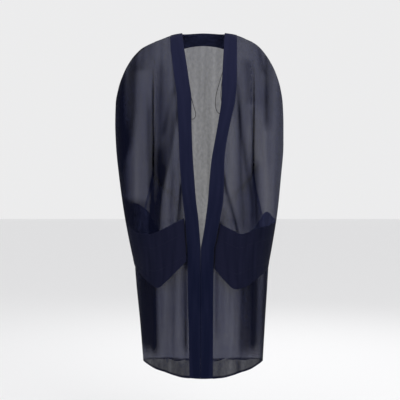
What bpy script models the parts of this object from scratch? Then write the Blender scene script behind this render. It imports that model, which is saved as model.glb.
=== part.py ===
# A bisht: a sheer, open-fronted cloak with wide sleeves, filled out as worn with the arms hanging.
# Metres, +Z up. The wearer faces -Y, so the wearer's left is +X. The origin lies between the two
# neck points, where the cloak rests on the shoulders. "out" is the distance from the middle
# towards one side, and "across" runs from 0 at a piece's inner edge to 1 at its outer edge.
from collections import namedtuple

import bmesh
import bpy
import numpy as np

SHEER_THICKNESS = 0.0016
BAND_THICKNESS = 0.0020
SEAM_GAP = 0.0003
HALF_GAP = SEAM_GAP / 2

SHOULDER_SEAM_OUT = 0.205       # the dropped armhole seam
UNDERARM_HEIGHT = -0.56         # foot of the armhole, where the sleeve closes to a tube
ARMHOLE_TURN_HEIGHT = -0.24     # from here down the armhole seam turns in under the arm
NECK_OUT = 0.0903
NECKLINE_RISE = 0.014           # the back of the neckline over the neck points
HEM_FRONT_HEIGHT = -1.403
HEM_SIDE_HEIGHT = -1.369

DOME_POWER, DOME_ROUND = 2.5, 0.6       # section over the shoulders and arms
FRONT_LENS_POWER, FRONT_LENS_ROUND = 2.0, 0.75
BACK_LENS_POWER, BACK_LENS_ROUND = 2.2, 0.66
TUCK_WIDTH = 0.016              # how far the crease beside a seam or fold reaches

SLEEVE_CLEARANCE = 0.008        # between the sleeve and the front that it hangs over
FOLD_CLEARANCE = 0.010          # the same at the sleeve's outer fold
SLEEVE_FOLD_END_HEIGHT = -0.74  # the sleeve's inner fold has come to the front band here
FOLD_TO_BAND = 0.003

BAND_COLUMNS, PANEL_COLUMNS = 2, 9
# The back panel's columns on each side, as their distance out at the shoulder.
BACK_OUTS = (0.0, 0.030, 0.056, 0.076, 0.0903, 0.104, 0.122, 0.141, 0.163, 0.184, 0.205)
NEAR_ROWS, NEAR_DEPTH, NEAR_POWER = 7, 0.13, 1.7
FAR_ROWS = 34
SLEEVE_COLUMNS = 13             # on each wall of the flattened tube
ARMHOLE_ROWS, FOREARM_ROWS, CUFF_ROWS = 17, 8, 8
NECK_BAND_ROWS = 4              # of the back panel's rows and, below, its columns within this
NECK_BAND_END = 0.142
SLEEVE_SPACING = 1.35           # columns gather towards the sleeve's outer fold

FOLD_FORWARD_HEIGHT = -0.60     # from here down the sleeve's outer fold comes forward
FOLD_BEFORE_BODY_HEIGHT = -0.93
SMALLEST_WING = 0.01
SHOULDER_LOWEST = -0.294
SHOULDER_SAMPLES = 400
PROBE = 0.001                   # step for reading a surface's slope
SHOULDER_PASSES = 12
MERGE_DISTANCE = 1e-6
CLEARANCE_START, CLEARANCE_RUN = 0.02, 0.07
SLEEVE_STAND_OFF = 0.026        # how much further forward than the body the sleeve hangs
FOLD_FILL = 2.5                 # the cloth's thickness at the sharp inner fold, in wall thicknesses
PATH_STEPS = 24

CORD_DIAMETER = 0.0026
CORD_POINTS = 56

Side = namedtuple("Side", "name sign")
SIDES = (Side("right", -1), Side("left", 1))

# The outer edge of the cloak, along the shoulder and down the sleeve's outer fold, and how far
# the sleeve's rear wall bulges behind it below the armhole.
Wing = namedtuple("Wing", "z right left bulge")
WING = (
    Wing(0.020, 0.0780, 0.0780, 0.00),
    Wing(0.000, 0.0903, 0.0903, 0.00),
    Wing(-0.008, 0.1340, 0.1410, 0.00),
    Wing(-0.025, 0.1800, 0.1830, 0.00),
    Wing(-0.042, 0.2230, 0.2180, 0.00),
    Wing(-0.059, 0.2560, 0.2380, 0.00),
    Wing(-0.076, 0.2760, 0.2530, 0.00),
    Wing(-0.109, 0.3040, 0.2760, 0.00),
    Wing(-0.160, 0.3330, 0.3020, 0.02),
    Wing(-0.227, 0.3570, 0.3230, 0.04),
    Wing(-0.294, 0.3690, 0.3330, 0.06),
    Wing(-0.378, 0.3710, 0.3360, 0.08),
    Wing(-0.462, 0.3680, 0.3360, 0.08),
    Wing(-0.596, 0.3550, 0.3260, 0.07),
    Wing(-0.731, 0.3350, 0.3110, 0.04),
    Wing(-0.865, 0.3100, 0.2900, 0.01),
    Wing(-0.966, 0.2880, 0.2720, 0.00),
    Wing(-1.060, 0.2620, 0.2500, 0.00),
)

# Depth of the cloak in front of and behind the shoulder line, at the middle of each section.
Depth = namedtuple("Depth", "z front back")
DEPTH = (
    Depth(0.020, 0.035, 0.052),
    Depth(0.000, 0.045, 0.060),
    Depth(-0.030, 0.066, 0.074),
    Depth(-0.080, 0.090, 0.093),
    Depth(-0.150, 0.112, 0.110),
    Depth(-0.250, 0.132, 0.122),
    Depth(-0.400, 0.145, 0.128),
    Depth(-0.600, 0.154, 0.128),
    Depth(-0.800, 0.162, 0.130),
    Depth(-1.000, 0.172, 0.136),
    Depth(-1.200, 0.186, 0.147),
    Depth(-1.410, 0.200, 0.160),
)

# The body below the shoulders: the armhole seam, then the side seam, and that seam's own depth.
Body = namedtuple("Body", "z right left seam_y")
BODY = (
    Body(-0.450, 0.205, 0.205, -0.070),
    Body(-0.560, 0.208, 0.206, -0.070),
    Body(-0.640, 0.222, 0.216, -0.058),
    Body(-0.720, 0.243, 0.236, -0.042),
    Body(-0.800, 0.262, 0.253, -0.026),
    Body(-0.900, 0.279, 0.266, -0.014),
    Body(-0.966, 0.286, 0.271, -0.008),
    Body(-1.033, 0.282, 0.268, -0.004),
    Body(-1.201, 0.266, 0.258, 0.000),
    Body(-1.410, 0.249, 0.246, 0.000),
)

# The front edges: where each opening edge lies, and the width of the band along it.
Edge = namedtuple("Edge", "z right left right_band left_band")
FRONT_EDGE = (
    Edge(0.004, 0.0890, 0.0890, 0.050, 0.052),
    Edge(-0.038, 0.0850, 0.0850, 0.052, 0.053),
    Edge(-0.125, 0.0718, 0.0792, 0.057, 0.057),
    Edge(-0.211, 0.0593, 0.0745, 0.058, 0.060),
    Edge(-0.294, 0.0490, 0.0715, 0.058, 0.056),
    Edge(-0.376, 0.0488, 0.0596, 0.054, 0.050),
    Edge(-0.456, 0.0467, 0.0455, 0.053, 0.048),
    Edge(-0.537, 0.0427, 0.0313, 0.054, 0.052),
    Edge(-0.617, 0.0367, 0.0233, 0.054, 0.059),
    Edge(-0.697, 0.0307, 0.0173, 0.053, 0.061),
    Edge(-0.777, 0.0207, 0.0073, 0.054, 0.058),
    Edge(-0.856, 0.0150, -0.0047, 0.055, 0.056),
    Edge(-0.896, 0.0128, -0.0108, 0.054, 0.054),
    Edge(-1.060, 0.0128, -0.0112, 0.051, 0.050),
    Edge(-1.230, 0.0128, -0.0112, 0.047, 0.049),
    Edge(-1.410, 0.0128, -0.0112, 0.044, 0.048),
)

# The cuff's upper and lower edges as heights, from the sleeve's inner fold to its outer fold.
CuffEdge = namedtuple("CuffEdge", "z right_top left_top right_low left_low")
FRONT_CUFF = (
    CuffEdge(0.0, -0.773, -0.793, -0.940, -0.973),
    CuffEdge(0.2, -0.797, -0.822, -0.990, -1.030),
    CuffEdge(0.4, -0.820, -0.838, -1.030, -1.058),
    CuffEdge(0.6, -0.822, -0.832, -1.048, -1.044),
    CuffEdge(0.8, -0.802, -0.806, -1.022, -1.014),
    CuffEdge(1.0, -0.776, -0.790, -0.968, -0.980),
)
REAR_CUFF = (
    CuffEdge(0.0, -0.773, -0.793, -0.940, -0.973),
    CuffEdge(0.2, -0.782, -0.800, -0.972, -0.992),
    CuffEdge(0.4, -0.782, -0.796, -0.992, -1.006),
    CuffEdge(0.6, -0.768, -0.780, -0.998, -1.002),
    CuffEdge(0.8, -0.744, -0.762, -0.986, -0.990),
    CuffEdge(1.0, -0.776, -0.790, -0.968, -0.980),
)

# The largest folds of each layer: soft ridges (height over 0) and troughs (height under 0) that
# run from a top point to a low point. "x" is across the whole cloak, as seen from above.
Fold = namedtuple("Fold", "layer top_x top_z low_x low_z width height")
FOLDS = (
    Fold("front", -0.262, -0.140, -0.262, -0.800, 0.022, 0.007),
    Fold("front", -0.318, -0.200, -0.300, -0.860, 0.020, -0.006),
    Fold("front", -0.112, -0.340, -0.172, -0.860, 0.016, 0.008),
    Fold("front", 0.142, -0.260, 0.158, -0.860, 0.016, -0.007),
    Fold("front", 0.262, -0.170, 0.250, -0.820, 0.020, 0.007),
    Fold("front", 0.302, -0.240, 0.286, -0.860, 0.014, -0.005),
    Fold("body_front", -0.085, -0.800, -0.088, -1.420, 0.020, 0.007),
    Fold("body_front", -0.150, -0.760, -0.152, -1.420, 0.022, -0.008),
    Fold("body_front", -0.205, -0.700, -0.200, -1.420, 0.018, 0.010),
    Fold("body_front", 0.075, -0.800, 0.082, -1.420, 0.020, 0.006),
    Fold("body_front", 0.138, -0.760, 0.146, -1.420, 0.018, -0.008),
    Fold("body_front", 0.196, -0.700, 0.192, -1.420, 0.018, 0.010),
    Fold("back", -0.165, -0.200, -0.190, -1.420, 0.022, 0.009),
    Fold("back", -0.095, -0.330, -0.118, -1.420, 0.026, -0.009),
    Fold("back", -0.030, -0.420, -0.044, -1.420, 0.024, 0.008),
    Fold("back", 0.040, -0.300, 0.034, -1.420, 0.024, -0.007),
    Fold("back", 0.105, -0.380, 0.112, -1.420, 0.024, 0.009),
    Fold("back", 0.160, -0.220, 0.182, -1.420, 0.020, -0.008),
    Fold("sleeve_rear", -0.285, -0.180, -0.285, -0.900, 0.022, 0.008),
    Fold("sleeve_rear", 0.262, -0.180, 0.262, -0.900, 0.020, 0.007),
)
FOLD_FADE = 0.16                # a fold rises and dies away over this share of its length

# Each cord loop's route, from the inside of the band down and back up to it. "behind" is how far
# its middle line lies behind the front panel's outer face.
Route = namedtuple("Route", "loop out z behind")
CORD_ROUTE = (
    Route("left", 0.0830, -0.1530, 0.0034),
    Route("left", 0.0827, -0.1562, 0.0082),
    Route("left", 0.0812, -0.1640, 0.0122),
    Route("left", 0.0745, -0.1850, 0.0140),
    Route("left", 0.0630, -0.2250, 0.0140),
    Route("left", 0.0524, -0.2640, 0.0140),
    Route("left", 0.0479, -0.3043, 0.0140),
    Route("left", 0.0524, -0.3323, 0.0140),
    Route("left", 0.0617, -0.3450, 0.0140),
    Route("left", 0.0711, -0.3433, 0.0140),
    Route("left", 0.0775, -0.3310, 0.0140),
    Route("left", 0.0765, -0.3110, 0.0140),
    Route("left", 0.0710, -0.2800, 0.0140),
    Route("left", 0.0725, -0.2400, 0.0140),
    Route("left", 0.0785, -0.1950, 0.0140),
    Route("left", 0.0868, -0.1650, 0.0122),
    Route("left", 0.0895, -0.1562, 0.0082),
    Route("left", 0.0904, -0.1530, 0.0034),
    Route("right", 0.0660, -0.1870, 0.0034),
    Route("right", 0.0656, -0.1902, 0.0082),
    Route("right", 0.0641, -0.1990, 0.0122),
    Route("right", 0.0594, -0.2388, 0.0140),
    Route("right", 0.0517, -0.2762, 0.0140),
    Route("right", 0.0407, -0.3169, 0.0140),
    Route("right", 0.0325, -0.3478, 0.0140),
    Route("right", 0.0379, -0.3660, 0.0140),
    Route("right", 0.0485, -0.3697, 0.0140),
    Route("right", 0.0590, -0.3600, 0.0140),
    Route("right", 0.0630, -0.3380, 0.0140),
    Route("right", 0.0640, -0.2900, 0.0140),
    Route("right", 0.0670, -0.2350, 0.0140),
    Route("right", 0.0714, -0.1990, 0.0122),
    Route("right", 0.0730, -0.1902, 0.0082),
    Route("right", 0.0737, -0.1870, 0.0034),
)

NAVY_SHEER = ("sheer_navy", (0.030, 0.038, 0.085, 1.0), 0.75)
NAVY_BAND = ("navy_crepe", (0.008, 0.012, 0.035, 1.0), 0.60)
DARK_CORD = ("dark_cord", (0.030, 0.026, 0.024, 1.0), 0.70)

# Each column of a front panel, as its share of the band's width and then of the rest.
BAND_SHARE = np.concatenate((np.linspace(0, 1, BAND_COLUMNS + 1), np.ones(PANEL_COLUMNS)))
PANEL_SHARE = np.concatenate((np.zeros(BAND_COLUMNS + 1), np.linspace(0, 1, PANEL_COLUMNS + 1)[1:]))


class Profile:
    """A smooth curve through one column of a table, read by the table's first column."""

    def __init__(self, rows, column):
        points = sorted((row[0], getattr(row, column)) for row in rows)
        self.at = np.array([point[0] for point in points])
        self.value = np.array([point[1] for point in points])
        step = np.diff(self.value) / np.diff(self.at)
        before, after = step[:-1], step[1:]
        same_way = before * after > 0
        total = np.where(same_way, before + after, 1.0)
        middle = np.where(same_way, 2 * before * after / total, 0.0)
        self.slope = np.concatenate(([step[0]], middle, [step[-1]]))

    def __call__(self, at):
        at = np.clip(at, self.at[0], self.at[-1])
        row = np.clip(np.searchsorted(self.at, at) - 1, 0, len(self.at) - 2)
        span = self.at[row + 1] - self.at[row]
        t = (at - self.at[row]) / span
        return (
            self.value[row] * (1 + 2 * t) * (1 - t) ** 2
            + self.value[row + 1] * t**2 * (3 - 2 * t)
            + span * t * (1 - t) * (self.slope[row] * (1 - t) - self.slope[row + 1] * t)
        )


def by_side(rows, suffix=""):
    return {side.name: Profile(rows, side.name + suffix) for side in SIDES}


WING_OUT = by_side(WING)
WING_BULGE = Profile(WING, "bulge")
FRONT_DEPTH = Profile(DEPTH, "front")
BACK_DEPTH = Profile(DEPTH, "back")
BODY_OUT = by_side(BODY)
SIDE_SEAM_Y = Profile(BODY, "seam_y")
EDGE_OUT = by_side(FRONT_EDGE)
BAND_WIDTH = by_side(FRONT_EDGE, "_band")


def ease(value, start, end):
    t = np.clip((value - start) / (end - start), 0.0, 1.0)
    return t * t * (3 - 2 * t)


def mix(first, second, share):
    return first + (second - first) * share


def dome(ratio):
    return (1 - np.clip(np.abs(ratio), 0, 1) ** DOME_POWER) ** DOME_ROUND


def lens(ratio, power, roundness):
    return (1 - np.clip(np.abs(ratio), 0, 1) ** power) ** roundness


def relief(layer, x, z):
    """How far the folds of a layer stand out from its smooth form."""
    height = np.zeros(np.broadcast(x, z).shape)
    for fold in FOLDS:
        if fold.layer == layer:
            along = (fold.top_z - z) / (fold.top_z - fold.low_z)
            middle = mix(fold.top_x, fold.low_x, np.clip(along, 0, 1))
            fade = ease(along, 0, FOLD_FADE)
            if fold.low_z > HEM_FRONT_HEIGHT:
                fade = fade * ease(1 - along, 0, FOLD_FADE)
            height += fold.height * fade * np.exp(-(((x - middle) / fold.width) ** 2))
    return height


def turned_in(z):
    """0 on the shoulders, 1 at the foot of the armhole and below."""
    return ease(z, ARMHOLE_TURN_HEIGHT, UNDERARM_HEIGHT)


def panel_edge(z, side):
    """Out, where the front and back panels end."""
    return BODY_OUT[side.name](z) - HALF_GAP


# The outer faces of the cloak, as depth (y) from place (out, z) on one side. The front and back
# panels end at the armhole seam, and below it at the side seam.


def front_y(out, z, side):
    wing, body = WING_OUT[side.name](z), panel_edge(z, side)
    low, x = turned_in(z), side.sign * out
    upper = -FRONT_DEPTH(z) * dome(out / wing)
    lower = mix(SIDE_SEAM_Y(z), -FRONT_DEPTH(z), lens(out / body, FRONT_LENS_POWER, FRONT_LENS_ROUND))
    folds = mix(relief("front", x, z), relief("body_front", x, z), low) * dome(out / body)
    return mix(upper, lower, low) - folds


def back_y(out, z, side):
    wing, body = WING_OUT[side.name](z), panel_edge(z, side)
    low = turned_in(z)
    upper = BACK_DEPTH(z) * dome(out / wing)
    lower = mix(SIDE_SEAM_Y(z), BACK_DEPTH(z), lens(out / body, BACK_LENS_POWER, BACK_LENS_ROUND))
    return mix(upper, lower, low) + relief("back", side.sign * out, z) * dome(out / body)


def sleeve_clearance(z):
    """Nothing at the armhole seam, then the space that the sleeve keeps from the body."""
    return SLEEVE_CLEARANCE * ease(z, UNDERARM_HEIGHT + CLEARANCE_START, UNDERARM_HEIGHT - CLEARANCE_RUN)


def sleeve_inner(z, side):
    """Out: the armhole seam, then the sleeve's inner fold, which hangs in beside the front band."""
    seam = BODY_OUT[side.name](np.maximum(z, UNDERARM_HEIGHT)) + HALF_GAP
    beside_band = EDGE_OUT[side.name](z) + BAND_WIDTH[side.name](z) + FOLD_TO_BAND
    return mix(seam, beside_band, ease(z, UNDERARM_HEIGHT, SLEEVE_FOLD_END_HEIGHT))


def sleeve_fold_y(z, side):
    """Depth of the sleeve's outer fold: over the shoulder line, then in front of the body."""
    wing, body = WING_OUT[side.name](z), BODY_OUT[side.name](z)
    before_body = front_y(np.minimum(wing, body), z, side) - FOLD_CLEARANCE
    return before_body * ease(z, FOLD_FORWARD_HEIGHT, FOLD_BEFORE_BODY_HEIGHT)


def sleeve_front_y(out, z, side):
    inner, wing = sleeve_inner(z, side), WING_OUT[side.name](z)
    below = ease(z, UNDERARM_HEIGHT, SLEEVE_FOLD_END_HEIGHT)
    fold_y, depth = sleeve_fold_y(z, side), FRONT_DEPTH(z) + SLEEVE_STAND_OFF * below
    hanging = mix(fold_y, -depth, dome(out / wing))
    at_inner = mix(fold_y, -depth, dome(inner / wing))
    anchor = front_y(inner, z, side) - sleeve_clearance(z)
    pull = np.exp(-np.clip(out - inner, 0, None) / TUCK_WIDTH)
    folds = relief("front", side.sign * out, z) * dome(out / wing) * (1 - pull)
    seam_folds = relief("front", side.sign * out, z) * dome(out / wing) * pull * (1 - turned_in(z))
    return hanging - folds - seam_folds + (anchor - at_inner) * pull


def sleeve_rear_y(out, z, side):
    """Behind the arm, round the side of the body, and below the armhole in front of the body."""
    wing, body = WING_OUT[side.name](z), BODY_OUT[side.name](z)
    fold_y = sleeve_fold_y(z, side)
    past_body = np.clip((out - body) / np.maximum(wing - body, SMALLEST_WING), 0, 1)
    side_y = back_y(body, z, side) - sleeve_clearance(z)
    bulge = ease(past_body, 0, 0.7) * dome(past_body)
    round_side = mix(side_y, fold_y, past_body) + WING_BULGE(z) * bulge
    before_body = front_y(np.minimum(out, body), z, side) - sleeve_clearance(z)
    wrapped = np.where(out < body, before_body, round_side)
    hanging = mix(fold_y, BACK_DEPTH(z), dome(out / wing))
    at_seam = mix(fold_y, BACK_DEPTH(z), dome(body / wing))
    pull = np.exp(-np.clip(out - body, 0, None) / TUCK_WIDTH)
    folds = relief("sleeve_rear", side.sign * out, z) * dome(out / wing) * (1 - pull)
    upper = hanging + folds + (back_y(body, z, side) - at_seam) * pull
    return mix(upper, wrapped, turned_in(z))


def shoulder_height(out, side):
    """Height of the shoulder line where it is this far out."""
    top = np.linspace(WING[0].z, SHOULDER_LOWEST, SHOULDER_SAMPLES)
    return np.interp(out, WING_OUT[side.name](top), top)


def hem_height(out, side):
    return mix(HEM_FRONT_HEIGHT, HEM_SIDE_HEIGHT, (out / BODY_OUT[side.name](HEM_SIDE_HEIGHT)) ** 2)


def row_shares(length):
    """Rows from a top edge to a low edge, close together over the shoulder."""
    near = NEAR_DEPTH * (np.arange(NEAR_ROWS) / NEAR_ROWS) ** NEAR_POWER
    return np.concatenate((near, np.linspace(NEAR_DEPTH, length, FAR_ROWS))) / length


def outward(points, higher, lower, sign, closed=None):
    """Unit normals of a grid, from its rows and from the same surface a little higher and lower."""
    across = np.gradient(points, axis=1)
    if closed is not None:
        around = (points[closed, 1] - points[closed, -2]) / 2
        across[closed, 0] = across[closed, -1] = around
    normals = np.cross(lower - higher, across) * sign
    return normals / np.maximum(np.linalg.norm(normals, axis=2, keepdims=True), 1e-12)


def square_to_seam(normals, edge, axis):
    """Keeps an edge's rim in the plane of its seam, so that two pieces' rims stay parallel."""
    normals[edge + (axis,)] = 0.0
    length = np.linalg.norm(normals[edge], axis=-1, keepdims=True)
    normals[edge] = normals[edge] / np.maximum(length, 1e-9)


def material(name, color, roughness):
    made = bpy.data.materials.get(name)
    if made is None:
        made = bpy.data.materials.new(name)
        made.use_nodes = True
        shader = made.node_tree.nodes["Principled BSDF"]
        shader.inputs["Base Color"].default_value = color
        shader.inputs["Roughness"].default_value = roughness
    return made


def place(name, data, finish):
    thing = bpy.data.objects.new(name, data)
    bpy.context.scene.collection.objects.link(thing)
    data.materials.append(material(*finish))
    return thing


def cloth_wall(name, finish, outer, normals, thickness, closed_from=None):
    """A closed wall between a grid of outer points and the same points moved in.

    From the row closed_from on, the last column is the first, and above it the wall is slit.
    """
    rows, columns = outer.shape[:2]
    index = np.arange(rows * columns).reshape(rows, columns)
    if closed_from is not None:
        index[closed_from:, -1] = index[closed_from:, 0]
    under = index + rows * columns
    faces = []

    def join(a, b, c, d):
        faces.extend(((a, b, c), (a, c, d)))

    for row in range(rows - 1):
        for column in range(columns - 1):
            a, b = index[row, column], index[row, column + 1]
            d, c = index[row + 1, column], index[row + 1, column + 1]
            join(a, b, c, d)
            shift = rows * columns
            faces.extend(((c + shift, b + shift, a + shift), (d + shift, c + shift, a + shift)))
    for row in (0, rows - 1):
        for column in range(columns - 1):
            a, b = index[row, column], index[row, column + 1]
            join(a, b, under[row, column + 1], under[row, column])
    slit_rows = rows - 1 if closed_from is None else closed_from
    for column in (0, columns - 1):
        for row in range(slit_rows):
            a, b = index[row, column], index[row + 1, column]
            join(a, b, under[row + 1, column], under[row, column])

    points = np.concatenate((outer.reshape(-1, 3), (outer - normals * thickness).reshape(-1, 3)))
    mesh = bpy.data.meshes.new(name)
    mesh.from_pydata([tuple(point) for point in points], [], faces)
    tidy = bmesh.new()
    tidy.from_mesh(mesh)
    bmesh.ops.remove_doubles(tidy, verts=tidy.verts, dist=MERGE_DISTANCE)
    loose = [vertex for vertex in tidy.verts if not vertex.link_faces]
    bmesh.ops.delete(tidy, geom=loose, context="VERTS")
    bmesh.ops.recalc_face_normals(tidy, faces=tidy.faces)
    tidy.to_mesh(mesh)
    tidy.free()
    mesh.shade_smooth()
    return place(name, mesh, finish)


TOP, LOW = (0, slice(None)), (-1, slice(None))
X_AXIS, Y_AXIS, Z_AXIS = 0, 1, 2


def front_out(z, side):
    """Out at each column of a front panel: across the band, then on to the seam."""
    edge, width = EDGE_OUT[side.name](z), BAND_WIDTH[side.name](z)
    return edge + width * BAND_SHARE + (panel_edge(z, side) - edge - width) * PANEL_SHARE


def build_front(side):
    """A front panel, and the band that is sewn along its edge."""

    def surface(z):
        out = front_out(z, side)
        return np.stack((side.sign * out, front_y(out, z, side) - HALF_GAP, z), axis=2)

    top = np.zeros(len(BAND_SHARE))
    for _ in range(SHOULDER_PASSES):
        top = shoulder_height(front_out(top, side), side)
    low = hem_height(front_out(np.full_like(top, HEM_SIDE_HEIGHT), side), side)
    z = mix(top, low, row_shares(-HEM_FRONT_HEIGHT)[:, None])
    points = surface(z)
    points[0, :, Y_AXIS] = -HALF_GAP
    normals = outward(points, surface(z + PROBE), surface(z - PROBE), side.sign)
    square_to_seam(normals, TOP, Y_AXIS)
    armhole = int(np.sum(z[:, -1] > UNDERARM_HEIGHT))
    square_to_seam(normals, (slice(1, armhole), -1), X_AXIS)
    square_to_seam(normals, (slice(armhole, None), -1), Y_AXIS)
    cloth_wall(f"front_panel_{side.name}", NAVY_SHEER, points, normals, SHEER_THICKNESS)
    band = slice(0, BAND_COLUMNS + 1)
    lifted = points[:, band] + normals[:, band] * (SEAM_GAP + BAND_THICKNESS)
    cloth_wall(f"front_band_{side.name}", NAVY_BAND, lifted, normals[:, band], BAND_THICKNESS)


def build_back():
    """The back panel, and the band that is sewn round the back of its neckline."""
    half = np.array(BACK_OUTS) / BACK_OUTS[-1]
    across = np.concatenate((-half[:0:-1], half))

    def surface(z):
        columns = []
        for column, share in enumerate(across):
            side = SIDES[1] if share > 0 else SIDES[0]
            out = abs(share) * panel_edge(z[:, column], side)
            y = back_y(out, z[:, column], side) + HALF_GAP
            columns.append(np.stack((side.sign * out, y, z[:, column]), axis=1))
        return np.stack(columns, axis=1)

    z = np.zeros((len(row_shares(-HEM_FRONT_HEIGHT)), len(across)))
    for column, share in enumerate(across):
        side = SIDES[1] if share > 0 else SIDES[0]
        top = back_top(abs(share) * SHOULDER_SEAM_OUT, side)
        low = hem_height(abs(share) * BODY_OUT[side.name](HEM_SIDE_HEIGHT), side)
        z[:, column] = mix(top, low, row_shares(-HEM_FRONT_HEIGHT))
    points = surface(z)
    on_shoulder = (0, np.abs(points[0, :, X_AXIS]) > NECK_OUT)
    points[on_shoulder + (Y_AXIS,)] = HALF_GAP
    normals = outward(points, surface(z + PROBE), surface(z - PROBE), -1)
    square_to_seam(normals, on_shoulder, Y_AXIS)
    armhole = int(np.sum(z[:, 0] > UNDERARM_HEIGHT))
    for column in (0, -1):
        square_to_seam(normals, (slice(1, armhole), column), X_AXIS)
        square_to_seam(normals, (slice(armhole, None), column), Y_AXIS)
    cloth_wall("back_panel", NAVY_SHEER, points, normals, SHEER_THICKNESS)
    neck = np.flatnonzero(np.abs(points[0, :, X_AXIS]) < NECK_BAND_END)
    band = (slice(0, NECK_BAND_ROWS + 1), slice(neck[0], neck[-1] + 1))
    lifted = points[band] + normals[band] * (SEAM_GAP + BAND_THICKNESS)
    cloth_wall("neck_band", NAVY_BAND, lifted, normals[band], BAND_THICKNESS)


def back_top(out, side):
    """The back panel's top edge: the shoulder line, and the neckline between the neck points."""
    neckline = NECKLINE_RISE * (1 - np.clip(out / NECK_OUT, 0, 1) ** 2)
    return np.where(out > NECK_OUT, shoulder_height(out, side), neckline)


SLEEVE_ACROSS = 1 - (1 - np.linspace(0, 1, SLEEVE_COLUMNS + 1)) ** SLEEVE_SPACING


def sleeve_section(front_z, rear_z, side):
    """Points round the sleeve: the front wall outwards, then the rear wall back to the inner edge."""
    walls = []
    for z, depth in ((front_z, sleeve_front_y), (rear_z, sleeve_rear_y)):
        out = mix(sleeve_inner(z, side), WING_OUT[side.name](z), SLEEVE_ACROSS)
        walls.append(np.stack((side.sign * out, depth(out, z, side), z), axis=2))
    return np.concatenate((walls[0], walls[1][:, -2::-1]), axis=1)


def sleeve_normals(points, heights, side, closed_from):
    higher = sleeve_section(*(z + PROBE for z in heights), side)
    lower = sleeve_section(*(z - PROBE for z in heights), side)
    normals = outward(points, higher, lower, side.sign, slice(closed_from, None))
    outer, inner = points[:, SLEEVE_COLUMNS], points[closed_from:, 0]
    beside_outer = (points[:, SLEEVE_COLUMNS - 1] + points[:, SLEEVE_COLUMNS + 1]) / 2
    beside_inner = (points[closed_from:, 1] + points[closed_from:, -2]) / 2
    normals[:, SLEEVE_COLUMNS] = level_unit(outer - beside_outer)
    normals[closed_from:, 0] = level_unit(inner - beside_inner) * FOLD_FILL
    normals[closed_from:, -1] = normals[closed_from:, 0]
    return normals


def level_unit(vectors):
    level = vectors * (1.0, 1.0, 0.0)
    return level / np.maximum(np.linalg.norm(level, axis=-1, keepdims=True), 1e-12)


def cuff_edges(side, which):
    """The heights of a cuff's edge at the columns of its front wall and of its rear wall."""
    return [Profile(rows, f"{side.name}_{which}")(SLEEVE_ACROSS) for rows in (FRONT_CUFF, REAR_CUFF)]


def wing_rows(side):
    """Heights down to the foot of the armhole, evenly spaced along the sleeve's outer fold."""
    z = np.linspace(shoulder_height(SHOULDER_SEAM_OUT, side), UNDERARM_HEIGHT, SHOULDER_SAMPLES)
    along = np.concatenate(([0], np.cumsum(np.hypot(np.diff(WING_OUT[side.name](z)), np.diff(z)))))
    return np.interp(np.linspace(0, along[-1], ARMHOLE_ROWS + 1), along, z)


def build_sleeve(side):
    armhole = np.repeat(wing_rows(side)[:, None], SLEEVE_COLUMNS + 1, axis=1)
    down = np.linspace(0, 1, FOREARM_ROWS + 1)[1:, None]
    heights = [
        np.concatenate((armhole, mix(UNDERARM_HEIGHT, edge + HALF_GAP, down)))
        for edge in cuff_edges(side, "top")
    ]
    points = sleeve_section(*heights, side)
    points[ARMHOLE_ROWS:, -1] = points[ARMHOLE_ROWS:, 0]
    normals = sleeve_normals(points, heights, side, ARMHOLE_ROWS)
    points[0] = (side.sign * (SHOULDER_SEAM_OUT + HALF_GAP), 0.0, armhole[0, 0])
    normals[0] = (0.0, 0.0, 1.0)
    for column in (0, -1):
        square_to_seam(normals, (slice(1, ARMHOLE_ROWS), column), X_AXIS)
    square_to_seam(normals, LOW, Z_AXIS)
    cloth_wall(f"sleeve_{side.name}", NAVY_SHEER, points, normals, SHEER_THICKNESS, ARMHOLE_ROWS)


def build_cuff(side):
    down = np.linspace(0, 1, CUFF_ROWS + 1)[:, None]
    edges = zip(cuff_edges(side, "top"), cuff_edges(side, "low"))
    heights = [mix(top - HALF_GAP, low, down) for top, low in edges]
    points = sleeve_section(*heights, side)
    points[:, -1] = points[:, 0]
    normals = sleeve_normals(points, heights, side, 0)
    square_to_seam(normals, TOP, Z_AXIS)
    cloth_wall(f"cuff_{side.name}", NAVY_BAND, points, normals, BAND_THICKNESS, 0)


def smooth_path(points, count):
    """Evenly spaced points on a smooth curve through a route's own points."""
    points = np.array(points)
    ends = points[:1] * 2 - points[1:2], points[-1:] * 2 - points[-2:-1]
    padded = np.concatenate((ends[0], points, ends[1]))
    fine = []
    for a, b, c, d in zip(padded, padded[1:], padded[2:], padded[3:]):
        for t in np.linspace(0, 1, PATH_STEPS, endpoint=False):
            bend = (2 * a - 5 * b + 4 * c - d) * t**2 + (3 * b - a - 3 * c + d) * t**3
            fine.append(0.5 * (2 * b + (c - a) * t + bend))
    fine = np.array(fine + [points[-1]])
    along = np.concatenate(([0], np.cumsum(np.linalg.norm(np.diff(fine, axis=0), axis=1))))
    even = np.linspace(0, along[-1], count)
    return np.stack([np.interp(even, along, fine[:, axis]) for axis in range(3)], axis=1)


def behind_front(out, z, behind, side):
    """A point this far behind the front panel's outer face, square to it."""

    def face(out, z):
        place = np.array([[out]]), np.array([[z]])
        return np.array((out, float(front_y(*place, side)[0, 0]), z))

    across = face(out + PROBE, z) - face(out - PROBE, z)
    down = face(out, z - PROBE) - face(out, z + PROBE)
    inward = -np.cross(down, across)
    point = face(out, z) + inward / np.linalg.norm(inward) * behind
    return point * (side.sign, 1, 1)


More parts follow.
